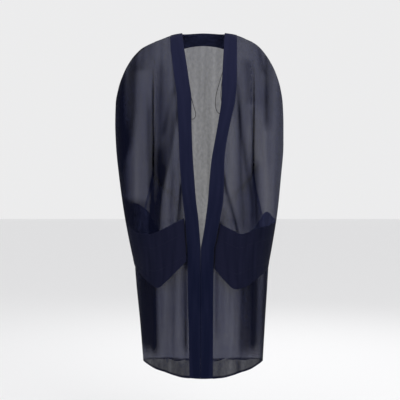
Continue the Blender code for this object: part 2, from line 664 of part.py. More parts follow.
def build_cord_loop(side):
    route = [
        behind_front(stop.out, stop.z, stop.behind, side)
        for stop in CORD_ROUTE
        if stop.loop == side.name
    ]
    curve = bpy.data.curves.new(f"cord_loop_{side.name}", "CURVE")
    curve.dimensions = "3D"
    curve.bevel_depth = CORD_DIAMETER / 2
    curve.bevel_resolution = 2
    curve.use_fill_caps = True
    spline = curve.splines.new("POLY")
    spline.points.add(CORD_POINTS - 1)
    for point, position in zip(spline.points, smooth_path(route, CORD_POINTS)):
        point.co = (*position, 1.0)
    place(f"cord_loop_{side.name}", curve, DARK_CORD)


def main():
    for thing in list(bpy.data.objects):
        bpy.data.objects.remove(thing, do_unlink=True)
    build_back()
    for side in SIDES:
        build_front(side)
        build_sleeve(side)
        build_cuff(side)
        build_cord_loop(side)


main()
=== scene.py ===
# Dresses a sheer bisht cloak: panels and sleeves of thin navy cloth with their folds, opaque bands
# and cuffs, a fine cord loop inside each front, hems, seams and stitching.
# Metres. x runs to the wearer's left, y to the wearer's back and z up from the shoulder line.

from collections import namedtuple

import bpy
import numpy as np
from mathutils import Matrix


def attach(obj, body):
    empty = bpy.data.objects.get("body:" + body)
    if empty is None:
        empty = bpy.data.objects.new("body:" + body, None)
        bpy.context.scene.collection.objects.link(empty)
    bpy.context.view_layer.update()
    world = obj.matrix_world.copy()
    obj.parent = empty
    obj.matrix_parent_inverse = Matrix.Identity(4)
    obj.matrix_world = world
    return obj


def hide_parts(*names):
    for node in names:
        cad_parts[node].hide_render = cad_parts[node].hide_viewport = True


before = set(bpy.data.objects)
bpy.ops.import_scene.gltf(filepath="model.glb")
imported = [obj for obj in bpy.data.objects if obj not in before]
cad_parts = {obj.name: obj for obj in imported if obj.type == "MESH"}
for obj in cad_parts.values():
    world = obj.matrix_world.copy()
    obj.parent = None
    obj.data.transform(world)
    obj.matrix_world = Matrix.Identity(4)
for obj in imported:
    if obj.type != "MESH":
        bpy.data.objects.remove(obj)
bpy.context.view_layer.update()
print("frame loaded:", len(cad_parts), "nodes")

side = namedtuple("side", "name sign")
sides = (side("right", -1), side("left", 1))  # the wearer's own sides

# ---- the view, and the room that the cloak hangs in

view = {"place": (-0.0147, -3.3, -0.697), "frameHalf": 0.84, "reach": 3.3}
room = {
    "floorHeight": -1.75,
    "floorReach": 40.0,
    "floorColour": (0.87, 0.87, 0.875, 1.0),
    "floorRoughness": 0.9,
    "air": (0.84, 0.84, 0.845, 1.0),
    "airStrength": 1.0,
    "lampsAim": (0.0, 0.0, -0.6),
    "clearLayers": 24,  # how many sheer layers the light may pass
}
# name, place, size, watts
lamps = (
    ("lamp_key", (2.0, -2.6, 1.3), 2.4, 46.0),
    ("lamp_fill", (-2.4, -2.4, 0.4), 2.6, 16.0),
    ("lamp_back", (0.8, 2.8, 1.4), 2.4, 30.0),
)


def makeCamera():
    data = bpy.data.cameras.new("camera")
    data.sensor_fit = "HORIZONTAL"
    data.angle = 2 * np.arctan(view["frameHalf"] / view["reach"])
    camera = bpy.data.objects.new("camera", data)
    camera.location = view["place"]
    camera.rotation_euler = (np.pi / 2, 0, 0)
    bpy.context.scene.collection.objects.link(camera)
    bpy.context.scene.camera = camera


def makeRoom():
    world = bpy.data.worlds.new("air")
    bpy.context.scene.world = world
    world.use_nodes = True
    air = world.node_tree.nodes["Background"]
    air.inputs["Color"].default_value = room["air"]
    air.inputs["Strength"].default_value = room["airStrength"]
    reach, height = room["floorReach"], room["floorHeight"]
    mesh = bpy.data.meshes.new("floor")
    corners = [(x * reach, y * reach, height) for x, y in ((-1, -1), (1, -1), (1, 1), (-1, 1))]
    mesh.from_pydata(corners, [], [(0, 1, 2, 3)])
    floor = bpy.data.objects.new("floor", mesh)
    bpy.context.scene.collection.objects.link(floor)
    paint = bpy.data.materials.new("floor_paint")
    paint.use_nodes = True
    shader = paint.node_tree.nodes["Principled BSDF"]
    shader.inputs["Base Color"].default_value = room["floorColour"]
    shader.inputs["Roughness"].default_value = room["floorRoughness"]
    mesh.materials.append(paint)
    for name, place, size, watts in lamps:
        data = bpy.data.lights.new(name, "AREA")
        data.size, data.energy = size, watts
        lamp = bpy.data.objects.new(name, data)
        lamp.location = place
        aim = np.subtract(room["lampsAim"], place)
        lamp.rotation_euler = (
            np.arctan2(np.hypot(aim[0], aim[1]), -aim[2]),
            0.0,
            np.arctan2(aim[1], aim[0]) - np.pi / 2,
        )
        bpy.context.scene.collection.objects.link(lamp)


makeCamera()
makeRoom()
bpy.context.scene.cycles.transparent_max_bounces = room["clearLayers"]
bpy.context.scene.view_settings.view_transform = "Standard"
print("camera, room and lamps")

# ---- the cut: the section tables of the solids, with the cuffs' edges fitted anew


def table(names, *rows):
    row = namedtuple("row", names)
    return [row(*values) for values in rows]


wing = table(
    "z right left bulge",
    (0.020, 0.0780, 0.0780, 0.00),
    (0.000, 0.0903, 0.0903, 0.00),
    (-0.008, 0.1340, 0.1410, 0.00),
    (-0.025, 0.1800, 0.1830, 0.00),
    (-0.042, 0.2230, 0.2180, 0.00),
    (-0.059, 0.2560, 0.2380, 0.00),
    (-0.076, 0.2760, 0.2530, 0.00),
    (-0.109, 0.3040, 0.2760, 0.00),
    (-0.160, 0.3330, 0.3020, 0.02),
    (-0.227, 0.3570, 0.3230, 0.04),
    (-0.294, 0.3690, 0.3330, 0.06),
    (-0.378, 0.3710, 0.3360, 0.08),
    (-0.462, 0.3680, 0.3360, 0.08),
    (-0.596, 0.3550, 0.3260, 0.07),
    (-0.731, 0.3350, 0.3110, 0.04),
    (-0.865, 0.3100, 0.2900, 0.01),
    (-0.966, 0.2880, 0.2720, 0.00),
    (-1.060, 0.2620, 0.2500, 0.00),
)
depth = table(
    "z front back",
    (0.020, 0.035, 0.052),
    (0.000, 0.045, 0.060),
    (-0.030, 0.066, 0.074),
    (-0.080, 0.090, 0.093),
    (-0.150, 0.112, 0.110),
    (-0.250, 0.132, 0.122),
    (-0.400, 0.145, 0.128),
    (-0.600, 0.154, 0.128),
    (-0.800, 0.162, 0.130),
    (-1.000, 0.172, 0.136),
    (-1.200, 0.186, 0.147),
    (-1.410, 0.200, 0.160),
)
body = table(
    "z right left seamY",
    (-0.450, 0.205, 0.205, -0.070),
    (-0.560, 0.208, 0.206, -0.070),
    (-0.640, 0.222, 0.216, -0.058),
    (-0.720, 0.243, 0.236, -0.042),
    (-0.800, 0.262, 0.253, -0.026),
    (-0.900, 0.279, 0.266, -0.014),
    (-0.966, 0.286, 0.271, -0.008),
    (-1.033, 0.282, 0.268, -0.004),
    (-1.201, 0.266, 0.258, 0.000),
    (-1.410, 0.249, 0.246, 0.000),
)
frontEdge = table(
    "z right left rightBand leftBand",
    (0.004, 0.0890, 0.0890, 0.050, 0.052),
    (-0.038, 0.0850, 0.0850, 0.052, 0.053),
    (-0.125, 0.0718, 0.0792, 0.057, 0.057),
    (-0.211, 0.0593, 0.0745, 0.058, 0.060),
    (-0.294, 0.0490, 0.0715, 0.058, 0.056),
    (-0.376, 0.0488, 0.0596, 0.054, 0.050),
    (-0.456, 0.0467, 0.0455, 0.053, 0.048),
    (-0.537, 0.0427, 0.0313, 0.054, 0.052),
    (-0.617, 0.0367, 0.0233, 0.054, 0.059),
    (-0.697, 0.0307, 0.0173, 0.053, 0.061),
    (-0.777, 0.0207, 0.0073, 0.054, 0.058),
    (-0.856, 0.0150, -0.0047, 0.055, 0.056),
    (-0.896, 0.0128, -0.0108, 0.054, 0.054),
    (-1.060, 0.0128, -0.0112, 0.051, 0.050),
    (-1.230, 0.0128, -0.0112, 0.047, 0.049),
    (-1.410, 0.0128, -0.0112, 0.044, 0.048),
)
cuffFront = table(
    "across rightTop leftTop rightLow leftLow",
    (0.0, -0.770, -0.791, -0.940, -0.970),
    (0.2, -0.793, -0.814, -0.983, -1.019),
    (0.4, -0.817, -0.832, -1.021, -1.051),
    (0.6, -0.834, -0.815, -1.048, -1.044),
    (0.8, -0.830, -0.804, -1.022, -1.014),
    (1.0, -0.784, -0.788, -0.968, -0.980),
)
cuffRear = table(
    "across rightTop leftTop rightLow leftLow",
    (0.0, -0.770, -0.791, -0.940, -0.970),
    (0.2, -0.808, -0.828, -0.972, -0.992),
    (0.4, -0.826, -0.848, -0.992, -1.006),
    (0.6, -0.738, -0.812, -0.998, -1.002),
    (0.8, -0.710, -0.746, -0.986, -0.990),
    (1.0, -0.780, -0.782, -0.968, -0.980),
)
form = {
    "shoulderSeamOut": 0.205,
    "neckOut": 0.0903,
    "necklineRise": 0.014,
    "underarm": -0.56,
    "armholeTurn": -0.24,
    "hemFront": -1.403,
    "hemSide": -1.369,
    "dome": (2.5, 0.6),  # the power and the roundness of an outline
    "frontLens": (2.0, 0.75),
    "backLens": (2.2, 0.66),
    "tuckWidth": 0.016,
    "sleeveClearance": 0.008,
    "clearanceFrom": (-0.54, -0.63),
    "bulgeBy": 0.7,
    "foldClearance": 0.010,
    "foldEnd": -0.74,
    "foldToBand": 0.003,
    "edgesMeet": 0.00078,
    "edgesMeetFrom": (-0.80, -0.90),
    "sleeveStandOff": 0.026,
    "foldForward": -0.60,
    "foldBeforeBody": -0.93,
    "smallestWing": 0.01,
    "shoulderLowest": -0.294,
    "shoulderSteps": 400,
}


def curveOf(rows, column):  # a smooth curve through a table's column, read by the first column
    points = sorted((row[0], getattr(row, column)) for row in rows)
    at = np.array([point[0] for point in points])
    value = np.array([point[1] for point in points])
    step = np.diff(value) / np.diff(at)
    before, after = step[:-1], step[1:]
    sameWay = before * after > 0
    total = np.where(sameWay, before + after, 1.0)
    slope = np.concatenate((step[:1], np.where(sameWay, 2 * before * after / total, 0.0), step[-1:]))

    def read(place):
        place = np.clip(place, at[0], at[-1])
        row = np.clip(np.searchsorted(at, place) - 1, 0, len(at) - 2)
        span = at[row + 1] - at[row]
        t = (place - at[row]) / span
        return (
            value[row] * (1 + 2 * t) * (1 - t) ** 2
            + value[row + 1] * t**2 * (3 - 2 * t)
            + span * t * (1 - t) * (slope[row] * (1 - t) - slope[row + 1] * t)
        )

    return read


def sideCurve(rows, more=""):  # a curve for each side, read by height and side
    curves = {who.name: curveOf(rows, who.name + more) for who in sides}
    return lambda z, who: curves[who.name](z)


wingOut, bodyOut = sideCurve(wing), sideCurve(body)
edgeCurve, bandWidth = sideCurve(frontEdge), sideCurve(frontEdge, "Band")
wingBulge, seamDepth = curveOf(wing, "bulge"), curveOf(body, "seamY")
depthFront, depthBack = curveOf(depth, "front"), curveOf(depth, "back")


def ease(value, start, end):
    t = np.clip((value - start) / (end - start), 0.0, 1.0)
    return t * t * (3 - 2 * t)


def mix(first, second, share):
    return first + (second - first) * share


def edgeOut(z, who):  # where the two front edges meet, they close up
    return edgeCurve(z, who) - form["edgesMeet"] * ease(z, *form["edgesMeetFrom"])


def dome(ratio):
    power, roundness = form["dome"]
    return (1 - np.clip(np.abs(ratio), 0, 1) ** power) ** roundness


def lens(ratio, shape):
    return (1 - np.clip(np.abs(ratio), 0, 1) ** shape[0]) ** shape[1]


# ---- folds: the solids' own large ones, and the finer ones of the thin cloth

# A soft ridge (height over 0) or trough, from a top point to a low one.
fold = namedtuple("fold", "topX topZ lowX lowZ width height")
folds = {
    "front": (
        fold(-0.262, -0.140, -0.262, -0.800, 0.022, 0.007),
        fold(-0.318, -0.200, -0.300, -0.860, 0.020, -0.006),
        fold(-0.112, -0.340, -0.172, -0.860, 0.016, 0.008),
        fold(0.142, -0.260, 0.158, -0.860, 0.016, -0.007),
        fold(0.262, -0.170, 0.250, -0.820, 0.020, 0.007),
        fold(0.302, -0.240, 0.286, -0.860, 0.014, -0.005),
    ),
    "lowFront": (
        fold(-0.085, -0.800, -0.088, -1.420, 0.020, 0.007),
        fold(-0.150, -0.760, -0.152, -1.420, 0.022, -0.008),
        fold(-0.205, -0.700, -0.200, -1.420, 0.018, 0.010),
        fold(0.075, -0.800, 0.082, -1.420, 0.020, 0.006),
        fold(0.138, -0.760, 0.146, -1.420, 0.018, -0.008),
        fold(0.196, -0.700, 0.192, -1.420, 0.018, 0.010),
    ),
    "back": (
        fold(-0.165, -0.200, -0.190, -1.420, 0.022, 0.009),
        fold(-0.095, -0.330, -0.118, -1.420, 0.026, -0.009),
        fold(-0.030, -0.420, -0.044, -1.420, 0.024, 0.008),
        fold(0.040, -0.300, 0.034, -1.420, 0.024, -0.007),
        fold(0.105, -0.380, 0.112, -1.420, 0.024, 0.009),
        fold(0.160, -0.220, 0.182, -1.420, 0.020, -0.008),
    ),
    "rear": (
        fold(-0.285, -0.180, -0.285, -0.900, 0.022, 0.008),
        fold(0.262, -0.180, 0.262, -0.900, 0.020, 0.007),
    ),
}
foldFade = 0.16


def relief(layer, x, z):
    height = np.zeros(np.broadcast(x, z).shape)
    for one in folds[layer]:
        along = (one.topZ - z) / (one.topZ - one.lowZ)
        middle = mix(one.topX, one.lowX, np.clip(along, 0, 1))
        fade = ease(along, 0, foldFade)
        if one.lowZ > form["hemFront"]:
            fade = fade * ease(1 - along, 0, foldFade)
        height += one.height * fade * np.exp(-(((x - middle) / one.width) ** 2))
    return height


def turnedIn(z):  # 0 on the shoulders, 1 from the foot of the armhole down
    return ease(z, form["armholeTurn"], form["underarm"])


# ---- the cloak's faces: depth from a place that is so far out and so high, on one side


def frontFace(out, z, who):
    wingHere, bodyHere = wingOut(z, who), bodyOut(z, who)
    low, x = turnedIn(z), who.sign * out
    upper = -depthFront(z) * dome(out / wingHere)
    lower = mix(seamDepth(z), -depthFront(z), lens(out / bodyHere, form["frontLens"]))
    raised = mix(relief("front", x, z), relief("lowFront", x, z), low) * dome(out / bodyHere)
    return mix(upper, lower, low) - raised


def backFace(out, z, who):
    wingHere, bodyHere = wingOut(z, who), bodyOut(z, who)
    upper = depthBack(z) * dome(out / wingHere)
    lower = mix(seamDepth(z), depthBack(z), lens(out / bodyHere, form["backLens"]))
    return mix(upper, lower, turnedIn(z)) + relief("back", who.sign * out, z) * dome(out / bodyHere)


def standOff(z):
    return form["sleeveClearance"] * ease(z, *form["clearanceFrom"])


def sleeveInner(z, who):
    seam = bodyOut(np.maximum(z, form["underarm"]), who)
    besideBand = edgeOut(z, who) + bandWidth(z, who) + form["foldToBand"]
    return mix(seam, besideBand, ease(z, form["underarm"], form["foldEnd"]))


def sleeveFoldDepth(z, who):
    nearer = np.minimum(wingOut(z, who), bodyOut(z, who))
    beforeBody = frontFace(nearer, z, who) - form["foldClearance"]
    return beforeBody * ease(z, form["foldForward"], form["foldBeforeBody"])


def sleeveFront(out, z, who):
    inner, wingHere = sleeveInner(z, who), wingOut(z, who)
    foldY = sleeveFoldDepth(z, who)
    reach = depthFront(z) + form["sleeveStandOff"] * ease(z, form["underarm"], form["foldEnd"])
    atInner = mix(foldY, -reach, dome(inner / wingHere))
    anchor = frontFace(inner, z, who) - standOff(z)
    pull = np.exp(-np.clip(out - inner, 0, None) / form["tuckWidth"])
    raised = relief("front", who.sign * out, z) * dome(out / wingHere) * (1 - pull * turnedIn(z))
    return mix(foldY, -reach, dome(out / wingHere)) - raised + (anchor - atInner) * pull


def sleeveRear(out, z, who):
    wingHere, bodyHere = wingOut(z, who), bodyOut(z, who)
    foldY = sleeveFoldDepth(z, who)
    past = np.clip((out - bodyHere) / np.maximum(wingHere - bodyHere, form["smallestWing"]), 0, 1)
    sideDepth = backFace(bodyHere, z, who) - standOff(z)
    roundSide = mix(sideDepth, foldY, past) + wingBulge(z) * ease(past, 0, form["bulgeBy"]) * dome(past)
    beforeBody = frontFace(np.minimum(out, bodyHere), z, who) - standOff(z)
    wrapped = np.where(out < bodyHere, beforeBody, roundSide)
    atSeam = mix(foldY, depthBack(z), dome(bodyHere / wingHere))
    pull = np.exp(-np.clip(out - bodyHere, 0, None) / form["tuckWidth"])
    raised = relief("rear", who.sign * out, z) * dome(out / wingHere) * (1 - pull)
    hanging = mix(foldY, depthBack(z), dome(out / wingHere)) + raised
    return mix(hanging + (backFace(bodyHere, z, who) - atSeam) * pull, wrapped, turnedIn(z))


def shoulderHeight(out, who):
    top = np.linspace(wing[0].z, form["shoulderLowest"], form["shoulderSteps"])
    return np.interp(out, wingOut(top, who), top)


def backTop(out, who):
    neckline = form["necklineRise"] * (1 - np.clip(out / form["neckOut"], 0, 1) ** 2)
    return np.where(out > form["neckOut"], shoulderHeight(out, who), neckline)


def hemHeight(out, who):
    share = out / bodyOut(form["hemSide"], who)
    return mix(form["hemFront"], form["hemSide"], share**2)


print("faces and folds")

# ---- how closely the thin cloth covers: 0 is clear, 1 is opaque

# A stroke's reach to its right and left, how far it rises (over 0) or sinks, how much the cloth
# bunches (over 0) or thins along it, and its points, each out and up, from the top one down.
stroke = namedtuple("stroke", "toRight toLeft lift dense path")


def strokesOf(*rows):
    return [stroke(*row[:4], np.array(row[4:]).T) for row in rows]


strokes = {
    "front": strokesOf(
        # the wearer's right side
        (0.041, 0.026, 0.0, 0.83, (-0.352, -0.03), (-0.33, -0.96)),
        (0.028, 0.03, 0.0, 0.34, (-0.318, -0.06), (-0.318, -0.38), (-0.336, -0.6)),
        (0.028, 0.018, 0.0, 0.57, (-0.286, -0.03), (-0.286, -0.34), (-0.314, -0.54)),
        (0.022, 0.034, 0.0, 0.44, (-0.234, -0.01), (-0.262, -0.18)),
        (0.06, 0.06, 0.0, 0.8, (-0.29, -0.682), (-0.276, -0.9)),
        (0.012, 0.012, -0.002, 0.12, (-0.296, -0.5), (-0.284, -0.86)),
        (0.008, 0.012, -0.001, 0.46, (-0.224, -0.28), (-0.22, -0.7)),
        (0.016, 0.012, -0.002, 0.75, (-0.222, -0.025), (-0.308, -0.112)),
        (0.006, 0.006, -0.002, 0.46, (-0.207, -0.19), (-0.206, -0.64)),
        (0.026, 0.034, 0.0, 0.38, (-0.174, -0.1), (-0.18, -0.64)),
        (
            0.034, 0.008, -0.004, 0.52,
            (-0.099, -0.29), (-0.142, -0.533), (-0.168, -0.65), (-0.18, -0.76), (-0.188, -0.92),
        ),
        (0.012, 0.01, -0.001, 0.3, (-0.116, -0.23), (-0.168, -0.45)),
        (0.022, 0.022, -0.002, 0.44, (-0.178, -0.45), (-0.188, -0.56), (-0.198, -0.7), (-0.208, -0.9)),
        (0.01, 0.014, -0.001, 0.42, (-0.164, -0.54), (-0.178, -0.7), (-0.188, -0.9)),
        (0.01, 0.01, 0.0, 0.5, (-0.206, -0.59), (-0.207, -0.7), (-0.208, -0.86)),
        (0.007, 0.012, 0.001, 0.5, (-0.13, -0.04), (-0.1, -0.44)),
        (0.008, 0.008, -0.002, 0.44, (-0.092, -0.43), (-0.09, -0.6), (-0.094, -0.85)),
        (0.005, 0.008, -0.002, 0.26, (-0.122, -0.56), (-0.136, -0.76)),
        (0.004, 0.009, -0.002, 0.6, (-0.09, -0.61), (-0.112, -0.85)),
        # the wearer's left side
        (0.016, 0.008, 0.0, 0.36, (0.222, -0.02), (0.252, -0.19)),
        (0.02, 0.018, 0.0, 0.5, (0.18, -0.11), (0.192, -0.32)),
        (0.004, 0.006, -0.002, 0.4, (0.2, -0.3), (0.201, -0.7)),
        (0.006, 0.022, -0.003, 0.72, (0.204, -0.52), (0.218, -0.86)),
        (0.009, 0.006, -0.001, 0.4, (0.141, -0.262), (0.15, -0.52), (0.16, -0.86)),
        (0.012, 0.01, 0.0, -0.12, (0.18, -0.38), (0.188, -0.58)),
        (
            0.009, 0.012, 0.003, 0.5,
            (0.125, -0.14), (0.14, -0.287), (0.156, -0.451),
            (0.178, -0.592), (0.196, -0.69), (0.204, -0.86),
        ),
        (0.02, 0.02, 0.0, 0.24, (0.18, -0.6), (0.184, -0.86)),
        (0.024, 0.016, 0.002, -0.17, (0.116, -0.34), (0.11, -0.78)),
        (0.034, 0.04, 0.0, -0.21, (0.246, -0.28), (0.25, -0.86)),
        (0.05, 0.04, 0.0, -0.06, (0.15, -0.02), (0.18, -0.3)),
        (0.009, 0.006, -0.002, 0.76, (0.078, -0.57), (0.088, -0.64), (0.131, -0.8), (0.142, -0.87)),
        (0.012, 0.018, -0.002, 0.66, (0.264, -0.03), (0.256, -0.3), (0.256, -0.43)),
        (0.008, 0.014, -0.001, 0.12, (0.258, -0.2), (0.262, -0.6)),
        (0.012, 0.014, 0.0, 0.36, (0.326, -0.09), (0.304, -0.88)),
    ),
    "lowFront": strokesOf(
        # the wearer's right side
        (0.058, 0.04, 0.0, 0.96, (-0.262, -0.8), (-0.239, -1.366)),
        (0.024, 0.022, 0.002, 0.76, (-0.21, -0.95), (-0.198, -1.345)),
        (0.006, 0.01, -0.001, 0.16, (-0.168, -1.06), (-0.16, -1.42)),
        (0.006, 0.006, 0.001, 0.12, (-0.148, -0.98), (-0.144, -1.38)),
        (0.008, 0.006, 0.001, 0.12, (-0.124, -1.0), (-0.12, -1.42)),
        (0.015, 0.007, -0.002, 0.76, (-0.072, -0.88), (-0.07, -1.33)),
        (0.01, 0.01, 0.0, 0.2, (-0.176, -1.35), (-0.176, -1.42)),
        (0.02, 0.024, 0.0, -0.06, (-0.142, -1.34), (-0.138, -1.42)),
        (0.02, 0.014, 0.0, 0.16, (-0.092, -1.34), (-0.09, -1.42)),
        # the wearer's left side
        (0.024, 0.026, 0.002, 0.95, (0.206, -0.85), (0.202, -1.352)),
        (0.02, 0.024, 0.0, 0.76, (0.162, -0.94), (0.158, -1.35)),
        (0.016, 0.016, 0.0, 0.9, (0.262, -0.9), (0.245, -1.372)),
        (0.006, 0.009, 0.0, 0.45, (0.05, -0.86), (0.05, -1.27)),
        (0.026, 0.026, 0.0, -0.05, (0.096, -0.98), (0.094, -1.3)),
        (0.024, 0.02, 0.0, -0.055, (0.104, -1.33), (0.104, -1.42)),
        (0.008, 0.008, 0.0, 0.22, (0.14, -1.34), (0.138, -1.42)),
    ),
    "back": strokesOf(
        (0.03, 0.036, 0.0, 0.36, (-0.19, -0.18), (-0.196, -0.64)),
        (0.04, 0.044, 0.0, 0.8, (-0.255, -0.76), (-0.236, -1.34)),
        (0.01, 0.02, -0.002, 0.22, (-0.12, -0.42), (-0.146, -1.38)),
        (0.014, 0.008, -0.002, 0.16, (-0.05, -0.3), (-0.06, -1.38)),
        (0.006, 0.012, 0.002, 0.14, (0.02, -0.36), (0.026, -1.38)),
        (0.018, 0.008, -0.002, 0.14, (0.076, -0.34), (0.088, -1.38)),
        (0.008, 0.02, -0.002, 0.22, (0.15, -0.3), (0.166, -1.38)),
        (0.026, 0.03, 0.0, 0.74, (0.21, -0.42), (0.222, -1.34)),
    ),
    "rear": strokesOf(
        (0.046, 0.03, 0.0, 0.82, (-0.352, -0.05), (-0.322, -0.9)),
        (0.01, 0.016, 0.002, 0.22, (-0.245, -0.2), (-0.236, -0.56)),
        (0.012, 0.014, 0.0, 0.3, (0.322, -0.1), (0.3, -0.88)),
        (0.014, 0.01, 0.002, 0.16, (0.25, -0.2), (0.24, -0.56)),
    ),
}
sheer = {
    "cover": 0.765,  # of the cloth lying flat
    "leastCover": 0.02,
    "mostCover": 0.992,
    "seamClose": 0.97,
    "strokeFade": 0.16,
    "ripple": 0.0007,  # small upright waves all over, their height and the cover that they change
    "rippleCover": 0.035,
    "rippleSway": (1.7, 2.3),
    "rippleWaves": ((61.0, 3.1, 0.4), (97.0, -5.0, 2.1), (151.0, 4.3, 4.0), (233.0, -9.0, 1.3)),
}


def strokeShares(layer, x, z):
    lift, dense = np.zeros(x.shape), np.zeros(x.shape)
    for one in strokes[layer]:
        pathX, pathZ = one.path
        along = (pathZ[0] - z) / (pathZ[0] - pathZ[-1])
        off = x - np.interp(-z, -pathZ, pathX)
        width = np.where(off < 0, one.toRight, one.toLeft)
        fade = ease(along, 0, sheer["strokeFade"])
        if pathZ[-1] > form["hemSide"]:
            fade = fade * ease(1 - along, 0, sheer["strokeFade"])
        share = fade * np.exp(-((off / width) ** 2))
        lift += one.lift * share
        dense += one.dense * share
    return lift, dense


def ripples(x, z, shift):
    total = np.zeros(x.shape)
    sway, often = sheer["rippleSway"]
    for across, down, phase in sheer["rippleWaves"]:
        total += np.sin(across * x + down * z + phase + shift + sway * np.sin(often * z + phase))
    return total / len(sheer["rippleWaves"])


# Where the sleeve lies before the body, its two walls and the panel under it share one layer's cover.
layerShares = {  # at the sleeve's inner fold, and further out
    "panel": (0.92, 0.16),
    "front": (0.06, 0.82),
    "rear": (0.05, 0.12),
}
sharing = {"reach": 0.050, "from": (-0.57, -0.60), "panelTo": (-0.93, -0.87), "body": (0.001, 0.014)}


def sharedCover(which, out, z, who):
    inner = sleeveInner(z, who)
    atFold, within = layerShares[which]
    share = mix(atFold, within, ease(out, inner, inner + sharing["reach"]))
    bodyHere = bodyOut(z, who)
    before = ease(out, bodyHere - sharing["body"][0], bodyHere - sharing["body"][1])
    before = before * ease(z, *sharing["from"])
    if which == "panel":
        before = before * np.where(out > inner, 1.0, 0.0) * ease(z, *sharing["panelTo"])
    return 1 - (1 - sheer["cover"]) ** mix(1.0, share, before)


def sewn(cover):  # the cover of a seam, whose cloth is folded close
    return np.stack((cover, np.full_like(cover, sheer["seamClose"])), axis=-1)


def covered(dense, wave):
    flat = sheer["cover"]
    bunched = np.where(dense > 0, flat + (1 - flat) * dense, flat * (1 + dense))
    return np.clip(bunched + sheer["rippleCover"] * wave, sheer["leastCover"], sheer["mostCover"])


# ---- meshes

fullTurn = 2 * np.pi
smallest = 1e-12


def steps(count):
    return np.linspace(0, 1, count + 1)


def unit(vectors):
    return vectors / np.maximum(np.linalg.norm(vectors, axis=-1, keepdims=True), smallest)


def facing(points, away):  # unit normals of a grid, turned to the side of the sign
    across, down = np.gradient(points, axis=1), np.gradient(points, axis=0)
    return unit(np.cross(across, down)) * away


def reachAlong(path):  # how far along a path each of its points lies
    return np.concatenate(([0], np.cumsum(np.linalg.norm(np.diff(path, axis=0), axis=1))))


def pointsAt(places, along, path):
    return np.stack([np.interp(places, along, path[:, axis]) for axis in range(3)], axis=1)


def lineOf(who, out, y, z):
    return np.stack(np.broadcast_arrays(who.sign * out, y, z), axis=-1)


def makePiece(name, points, faces, finish, uvs, cover=None, smooth=True):
    mesh = bpy.data.meshes.new(name)
    mesh.from_pydata([tuple(point) for point in points], [], faces)
    layer = mesh.uv_layers.new(name="cloth")
    index = np.empty(len(mesh.loops), dtype=np.int32)
    mesh.loops.foreach_get("vertex_index", index)
    layer.data.foreach_set("uv", np.asarray(uvs, dtype=np.float32)[index].ravel())
    if cover is not None:
        for column, kind in enumerate(("cover", "close")):
            layer = mesh.attributes.new(kind, "FLOAT", "POINT")
            layer.data.foreach_set("value", np.asarray(cover[:, column], dtype=np.float32))
    if smooth:
        mesh.shade_smooth()
    mesh.materials.append(finish.material)
    piece = bpy.data.objects.new(name, mesh)
    bpy.context.scene.collection.objects.link(piece)
    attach(piece, "root")
    return piece


def gridFaces(index, flip=False):
    a, b = index[:-1, :-1].ravel(), index[:-1, 1:].ravel()
    d, c = index[1:, :-1].ravel(), index[1:, 1:].ravel()
    quads = np.stack((a, b, c, d) if flip else (a, d, c, b), axis=1)
    faces = [tuple(dict.fromkeys(quad)) for quad in quads.tolist()]
    return [face for face in faces if len(face) > 2]


def clothSize(points):  # each point's place on the cloth, in metres across and down
    across = np.linalg.norm(np.diff(points, axis=1), axis=2)
    down = np.linalg.norm(np.diff(points, axis=0), axis=2)
    u = np.pad(np.cumsum(across, axis=1), ((0, 0), (1, 0)))
    v = np.pad(np.cumsum(down, axis=0), ((1, 0), (0, 0)))
    middle = u[:, u.shape[1] // 2][:, None]
    return np.stack((u - middle, v), axis=2).reshape(-1, 2)


def thinSheet(name, points, cover, flip, closedFrom=None):
    index = np.arange(points[..., 0].size).reshape(points.shape[:2])
    if closedFrom is not None:  # a sleeve: one point on the shoulder, and a ring below the armhole
        index[closedFrom:, -1] = index[closedFrom:, 0]
        index[0] = index[0, 0]
    used, fresh = np.unique(index, return_inverse=True)
    faces = gridFaces(fresh.reshape(index.shape), flip)
    uvs, cover = clothSize(points)[used], cover.reshape(-1, 2)[used]
    return makePiece(name, points.reshape(-1, 3)[used], faces, sheerFinish, uvs, cover)


def thickSheet(name, outer, inner, finish, flip, closed=False, cover=None):
    rows, columns = outer.shape[:2]
    index = np.arange(2 * rows * columns).reshape(2, rows, columns)
    if closed:
        index[..., -1] = index[..., 0]
    used, fresh = np.unique(index, return_inverse=True)
    over, under = fresh.reshape(index.shape)
    faces = gridFaces(over, flip) + gridFaces(under, not flip)
    for row, turn in ((0, not flip), (-1, flip)):
        faces += gridFaces(np.stack((over[row], under[row])), turn)
    if not closed:
        for column, turn in ((0, flip), (-1, not flip)):
            faces += gridFaces(np.stack((over[:, column], under[:, column])), turn)
    points = np.concatenate((outer.reshape(-1, 3), inner.reshape(-1, 3)))[used]
    if cover is not None:
        cover = sewn(np.tile(np.broadcast_to(cover, (rows, columns)).ravel(), 2)[used])
    return makePiece(name, points, faces, finish, np.tile(clothSize(outer), (2, 1))[used], cover)


# ---- finishes


class wire:  # a number or colour that runs through a finish's nodes
    def __init__(self, made, socket):
        self.made, self.socket = made, socket

    def maths(self, operation, *inputs):
        return self.made.node("ShaderNodeMath", {"operation": operation}, dict(enumerate(inputs)))

    def __add__(self, other):
        return self.maths("ADD", self, other)

    __radd__ = __add__

    def __sub__(self, other):
        return self.maths("SUBTRACT", self, other)

    def __rsub__(self, other):
        return self.maths("SUBTRACT", other, self)

    def __mul__(self, other):
        return self.maths("MULTIPLY", self, other)

    __rmul__ = __mul__

    def sine(self):
        return self.maths("SINE", self)

    def size(self):
        return self.maths("ABSOLUTE", self)

    def between(self, low, high):
        return self.maths("MINIMUM", self.maths("MAXIMUM", self, low), high)


